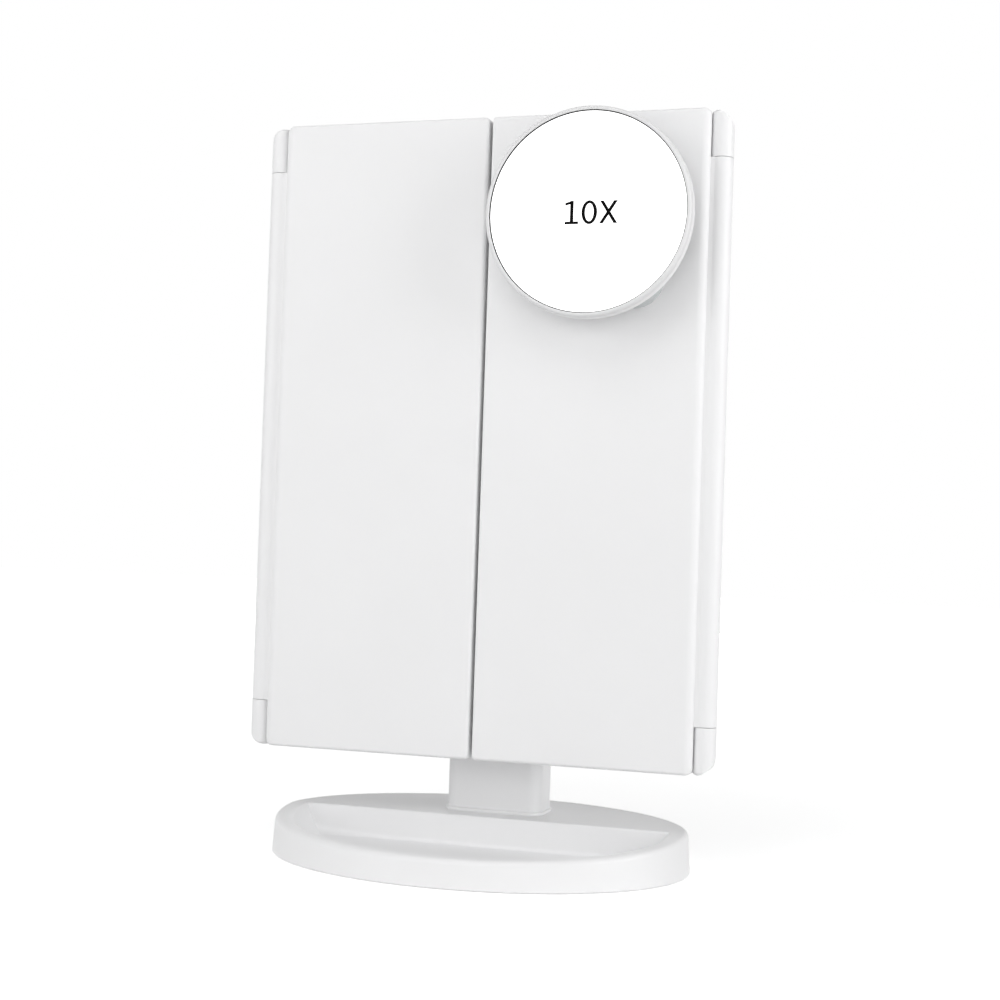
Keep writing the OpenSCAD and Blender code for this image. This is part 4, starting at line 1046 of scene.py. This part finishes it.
def build_cup_housing():
    hollow_r, hollow_d = SPOT_R - HOUSING_WALL, SPOT_DEPTH - HOUSING_FLOOR
    section = [(0, hollow_d), (hollow_r, hollow_d), (hollow_r, RING_T)]
    section += [(SPOT_R - SEAM_BREAK, RING_T), (SPOT_R, RING_T + SEAM_BREAK)]
    section += arc(SPOT_R - BACK_R, SPOT_DEPTH - BACK_R, BACK_R, 0, 90)
    section += [(0, SPOT_DEPTH)]
    bm = bmesh.new()
    turned(bm, section, SPOT_CENTRE, SPOT_STEPS)
    housing = to_object(bm, "spot_back")
    bm = bmesh.new()
    for place in cup_centres():
        stud = bmesh.ops.create_cone(bm, cap_ends=True, segments=HOLE_SIDES, radius1=STUD_R * MM,
                                     radius2=STUD_R * MM, depth=3 * STUD_SINK * MM)["verts"]
        bmesh.ops.rotate(bm, verts=stud, cent=(0, 0, 0), matrix=Matrix.Rotation(pi / 2, 3, "X"))
        bmesh.ops.translate(bm, verts=stud, vec=place + Vector((0, SPOT_DEPTH, 0)) * MM)
    carve(housing, [to_object(bm, "stud_holes")], "DIFFERENCE")
    finish_piece(housing, WHITE_ABS, "spot_mirror", ["spot_housing"])


build_ring()
build_cup_housing()

# %% [markdown]
# A tenfold magnifying mirror is hollow. A flat disc would look much the same here and wrong from
# the side, so the pane's front is a very shallow dish, which starts a little behind the ring's
# nose.

# %% Spot glass
GLASS_GAP = 0.33
GLASS_R = SEAT_R - GLASS_GAP
DISH_EDGE, DISH_MIDDLE = 0.85, 1.55
DISH_STEPS = 10


def dish_depth(reach):
    return DISH_MIDDLE + (DISH_EDGE - DISH_MIDDLE) * (reach / GLASS_R) ** 2


def build_spot_glass():
    dish = [(GLASS_R * step / DISH_STEPS, dish_depth(GLASS_R * step / DISH_STEPS))
            for step in range(DISH_STEPS + 1)]
    bm = bmesh.new()
    turned(bm, dish + [(GLASS_R, SEAT_D), (0, SEAT_D)], SPOT_CENTRE, SPOT_STEPS)
    finish_piece(to_object(bm, "spot_pane"), MIRROR_GLASS, "spot_mirror", ["spot_glass"])


build_spot_glass()

# %% [markdown]
# The magnification is printed on the glass in thin black figures, 8 mm high. A text object could
# show them, but its letters have other widths and strokes. So each straight stroke is a
# four-sided face and the nought is a bridged pair of ovals. The strokes are given a little depth,
# joined, and laid onto the dish as a thin layer of ink.

# %% Magnification figures
FIGURES_X, FIGURES_Z = 43.9, 238.55
INK_T, INK_BED = 0.08, 0.05
STROKES = {
    "one_stem": ((-7.72, -4.15), (-6.52, -4.15), (-6.52, 4.25), (-7.72, 4.25)),
    "one_foot": ((-9.60, -4.15), (-4.66, -4.15), (-4.66, -3.22), (-9.60, -3.22)),
    "one_flag": ((-9.55, 2.55), (-7.30, 3.25), (-7.00, 4.25), (-9.58, 3.50)),
    "x_falling": ((3.22, 4.03), (8.38, -4.10), (9.74, -4.10), (4.54, 4.03)),
    "x_rising": ((3.08, -4.10), (8.38, 4.03), (9.74, 4.03), (4.40, -4.10)),
}
NOUGHT_X, NOUGHT_OUTER, NOUGHT_INNER = -0.64, (2.86, 4.27), (1.64, 3.25)
NOUGHT_SIDES = 48


def deepen(bm, name):
    made = bmesh.ops.extrude_face_region(bm, geom=list(bm.faces))["geom"]
    lifted = [v for v in made if isinstance(v, bmesh.types.BMVert)]
    bmesh.ops.translate(bm, verts=lifted, vec=(0, MM, 0))
    return to_object(bm, name)


def stroke(name, corners):
    bm = bmesh.new()
    bm.faces.new([bm.verts.new(Vector((x, 0, z)) * MM) for x, z in corners])
    return deepen(bm, name)


def nought():
    bm = bmesh.new()
    upright = Matrix.Rotation(pi / 2, 4, "X")
    for half_w, half_h in (NOUGHT_OUTER, NOUGHT_INNER):
        ring = bmesh.ops.create_circle(bm, cap_ends=False, segments=NOUGHT_SIDES, radius=MM,
                                       matrix=upright)["verts"]
        bmesh.ops.scale(bm, verts=ring, vec=(half_w, 1, half_h))
        bmesh.ops.translate(bm, verts=ring, vec=(NOUGHT_X * MM, 0, 0))
    bmesh.ops.bridge_loops(bm, edges=bm.edges)
    return deepen(bm, "nought")


def build_figures():
    strokes = [stroke(name, corners) for name, corners in STROKES.items()]
    figures = carve(nought(), strokes, "UNION")
    figures.name = "magnification_figures"
    for vert in figures.data.vertices:
        buried = vert.co.y > MM / 2
        vert.co += Vector((FIGURES_X, 0, FIGURES_Z)) * MM
        off = vert.co - SPOT_CENTRE
        reach = sqrt(off.x ** 2 + off.z ** 2) / MM
        vert.co.y = SPOT_CENTRE.y + (dish_depth(reach) + (INK_BED if buried else -INK_T)) * MM
    finish_piece(figures, BLACK_INK, "spot_mirror", weighted=False)


build_figures()

# %% [markdown]
# Three suction cups hold the spot mirror on the leaf. Each is a bell with a stud that is pressed
# into the housing. A squashed sphere would have neither the hollow nor the thin lip, so each cup
# is turned from the same section.

# %% Suction cups
CUP_R = 11.0
STUD_SLACK, STUD_EASE = 0.1, 0.3
CUP_NECK = [(3.6, 0.3), (3.8, 0.7), (3.8, 1.7), (3.4, 2.2)]
BELL_TOP = (3.2, 2.8)
BELL_STEPS, CUP_STEPS = 8, 64
CUP_T = LEAF_FACE - (SPOT_CENTRE.y / MM + SPOT_DEPTH)


def bell(start, end, steps, power):
    (r0, d0), (r1, d1) = start, end
    shares = [step / steps for step in range(steps + 1)]
    return [(r0 + (r1 - r0) * share, d0 + (d1 - d0) * share ** power) for share in shares]


def build_cups():
    stud = STUD_R - STUD_SLACK
    section = [(0, -STUD_SINK), (stud - STUD_EASE, -STUD_SINK), (stud, STUD_EASE - STUD_SINK)]
    section += [(stud, STUD_SLACK)] + CUP_NECK
    section += bell(BELL_TOP, (CUP_R - 0.1, CUP_T - 0.9), BELL_STEPS, 1.25)
    section += [(CUP_R, CUP_T - 0.4), (CUP_R - 0.1, CUP_T), (CUP_R - 0.8, CUP_T)]
    section += bell((CUP_R - 1.1, CUP_T - 0.3), (1.6, CUP_T * 0.62), BELL_STEPS, 0.8)
    section += [(0, CUP_T * 0.6)]
    bm = bmesh.new()
    for place in cup_centres():
        turned(bm, section, place + Vector((0, SPOT_DEPTH, 0)) * MM, CUP_STEPS)
    finish_piece(to_object(bm, "vinyl_cups"), CLEAR_CUP, "spot_mirror", ["suction_cups"])


build_cups()

# %% [markdown]
# The screws that hold the back shell and the tilt bracket show from behind. Each head gets its
# cross recess. A painted cross would look flat in a low light, so it is cut. The crosses of one
# set of screws are one cutter, so that one Boolean does it.

# %% Cross recesses
CROSS_ARM, CROSS_HALF_W, CROSS_DEPTH = 1.35, 0.32, 0.9


def screw_places(bm):
    """The middle of each screw, found from the separate skins of the node's mesh."""
    left, places = set(bm.verts), []
    while left:
        newest = [left.pop()]
        skin = list(newest)
        while newest:
            for edge in newest.pop().link_edges:
                for vert in edge.verts:
                    if vert in left:
                        left.remove(vert)
                        newest.append(vert)
                        skin.append(vert)
        low_x, low_z = min(v.co.x for v in skin), min(v.co.z for v in skin)
        high_x, high_z = max(v.co.x for v in skin), max(v.co.z for v in skin)
        places.append(((low_x + high_x) / 2, (low_z + high_z) / 2))
    return places


def crossed_screws(node):
    screws = merged_copy(node, node + "_crossed")
    bm = bmesh.new()
    bm.from_mesh(screws.data)
    places = screw_places(bm)
    bm.free()
    floor_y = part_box(node)[1].y - CROSS_DEPTH * MM
    a, w = CROSS_ARM * MM, CROSS_HALF_W * MM
    cross = [(a, -w), (a, w), (w, w), (w, a), (-w, a), (-w, w),
             (-a, w), (-a, -w), (-w, -w), (-w, -a), (w, -a), (w, -w)]
    bm = bmesh.new()
    for x, z in places:
        bm.faces.new([bm.verts.new((x + dx, floor_y, z + dz)) for dx, dz in cross])
    carve(screws, [deepen(bm, "crosses")], "DIFFERENCE")
    slot = NODE_SLOT[node]
    finish_piece(screws, SLOT_FINISH[slot], "panel", [node])
    print(node, "has", len(places), "crosses")


crossed_screws("housing_screws")
crossed_screws("bracket_screws")

# %% [markdown]
# Each cell's flat end rests on a cone of spring wire. A pile of rings would pass from afar, but a
# real spring is one wire. So a small ring of points is extruded along a turn that climbs and
# narrows from the bay's end towards the cell.

# %% Battery springs
COIL_WIDE, COIL_NARROW, WIRE_R = 4.5, 2.6, 0.38
COIL_TURNS, COIL_STEPS, WIRE_SIDES = 4, 24, 10
COIL_H = 4.5
CELL_PITCH, CELL_COUNT = 14.8, 4


def coil(bm, middle, end_z, climb):
    rings = []
    for step in range(COIL_TURNS * COIL_STEPS + 1):
        share, turn = step / (COIL_TURNS * COIL_STEPS), 2 * pi * step / COIL_STEPS
        out = Vector((cos(turn), sin(turn), 0))
        wire = middle + out * (COIL_WIDE + (COIL_NARROW - COIL_WIDE) * share) * MM
        wire.z = end_z + climb * (WIRE_R + (COIL_H - 2 * WIRE_R) * share) * MM
        around = [2 * pi * side / WIRE_SIDES for side in range(WIRE_SIDES)]
        rings.append([wire + (out * cos(a) + Vector((0, 0, sin(a)))) * WIRE_R * MM for a in around])
    stack_rings(bm, rings)


def build_springs():
    low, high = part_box("battery_springs")
    bm = bmesh.new()
    for index in range(CELL_COUNT):
        x = (index - (CELL_COUNT - 1) / 2) * CELL_PITCH * MM
        middle = Vector((x, (low.y + high.y) / 2, 0))
        if index % 2:
            coil(bm, middle, high.z, -1)
        else:
            coil(bm, middle, low.z, 1)
    slot = NODE_SLOT["battery_springs"]
    finish_piece(to_object(bm, "spring_coils"), SLOT_FINISH[slot], "panel", ["battery_springs"],
                 weighted=False)


build_springs()
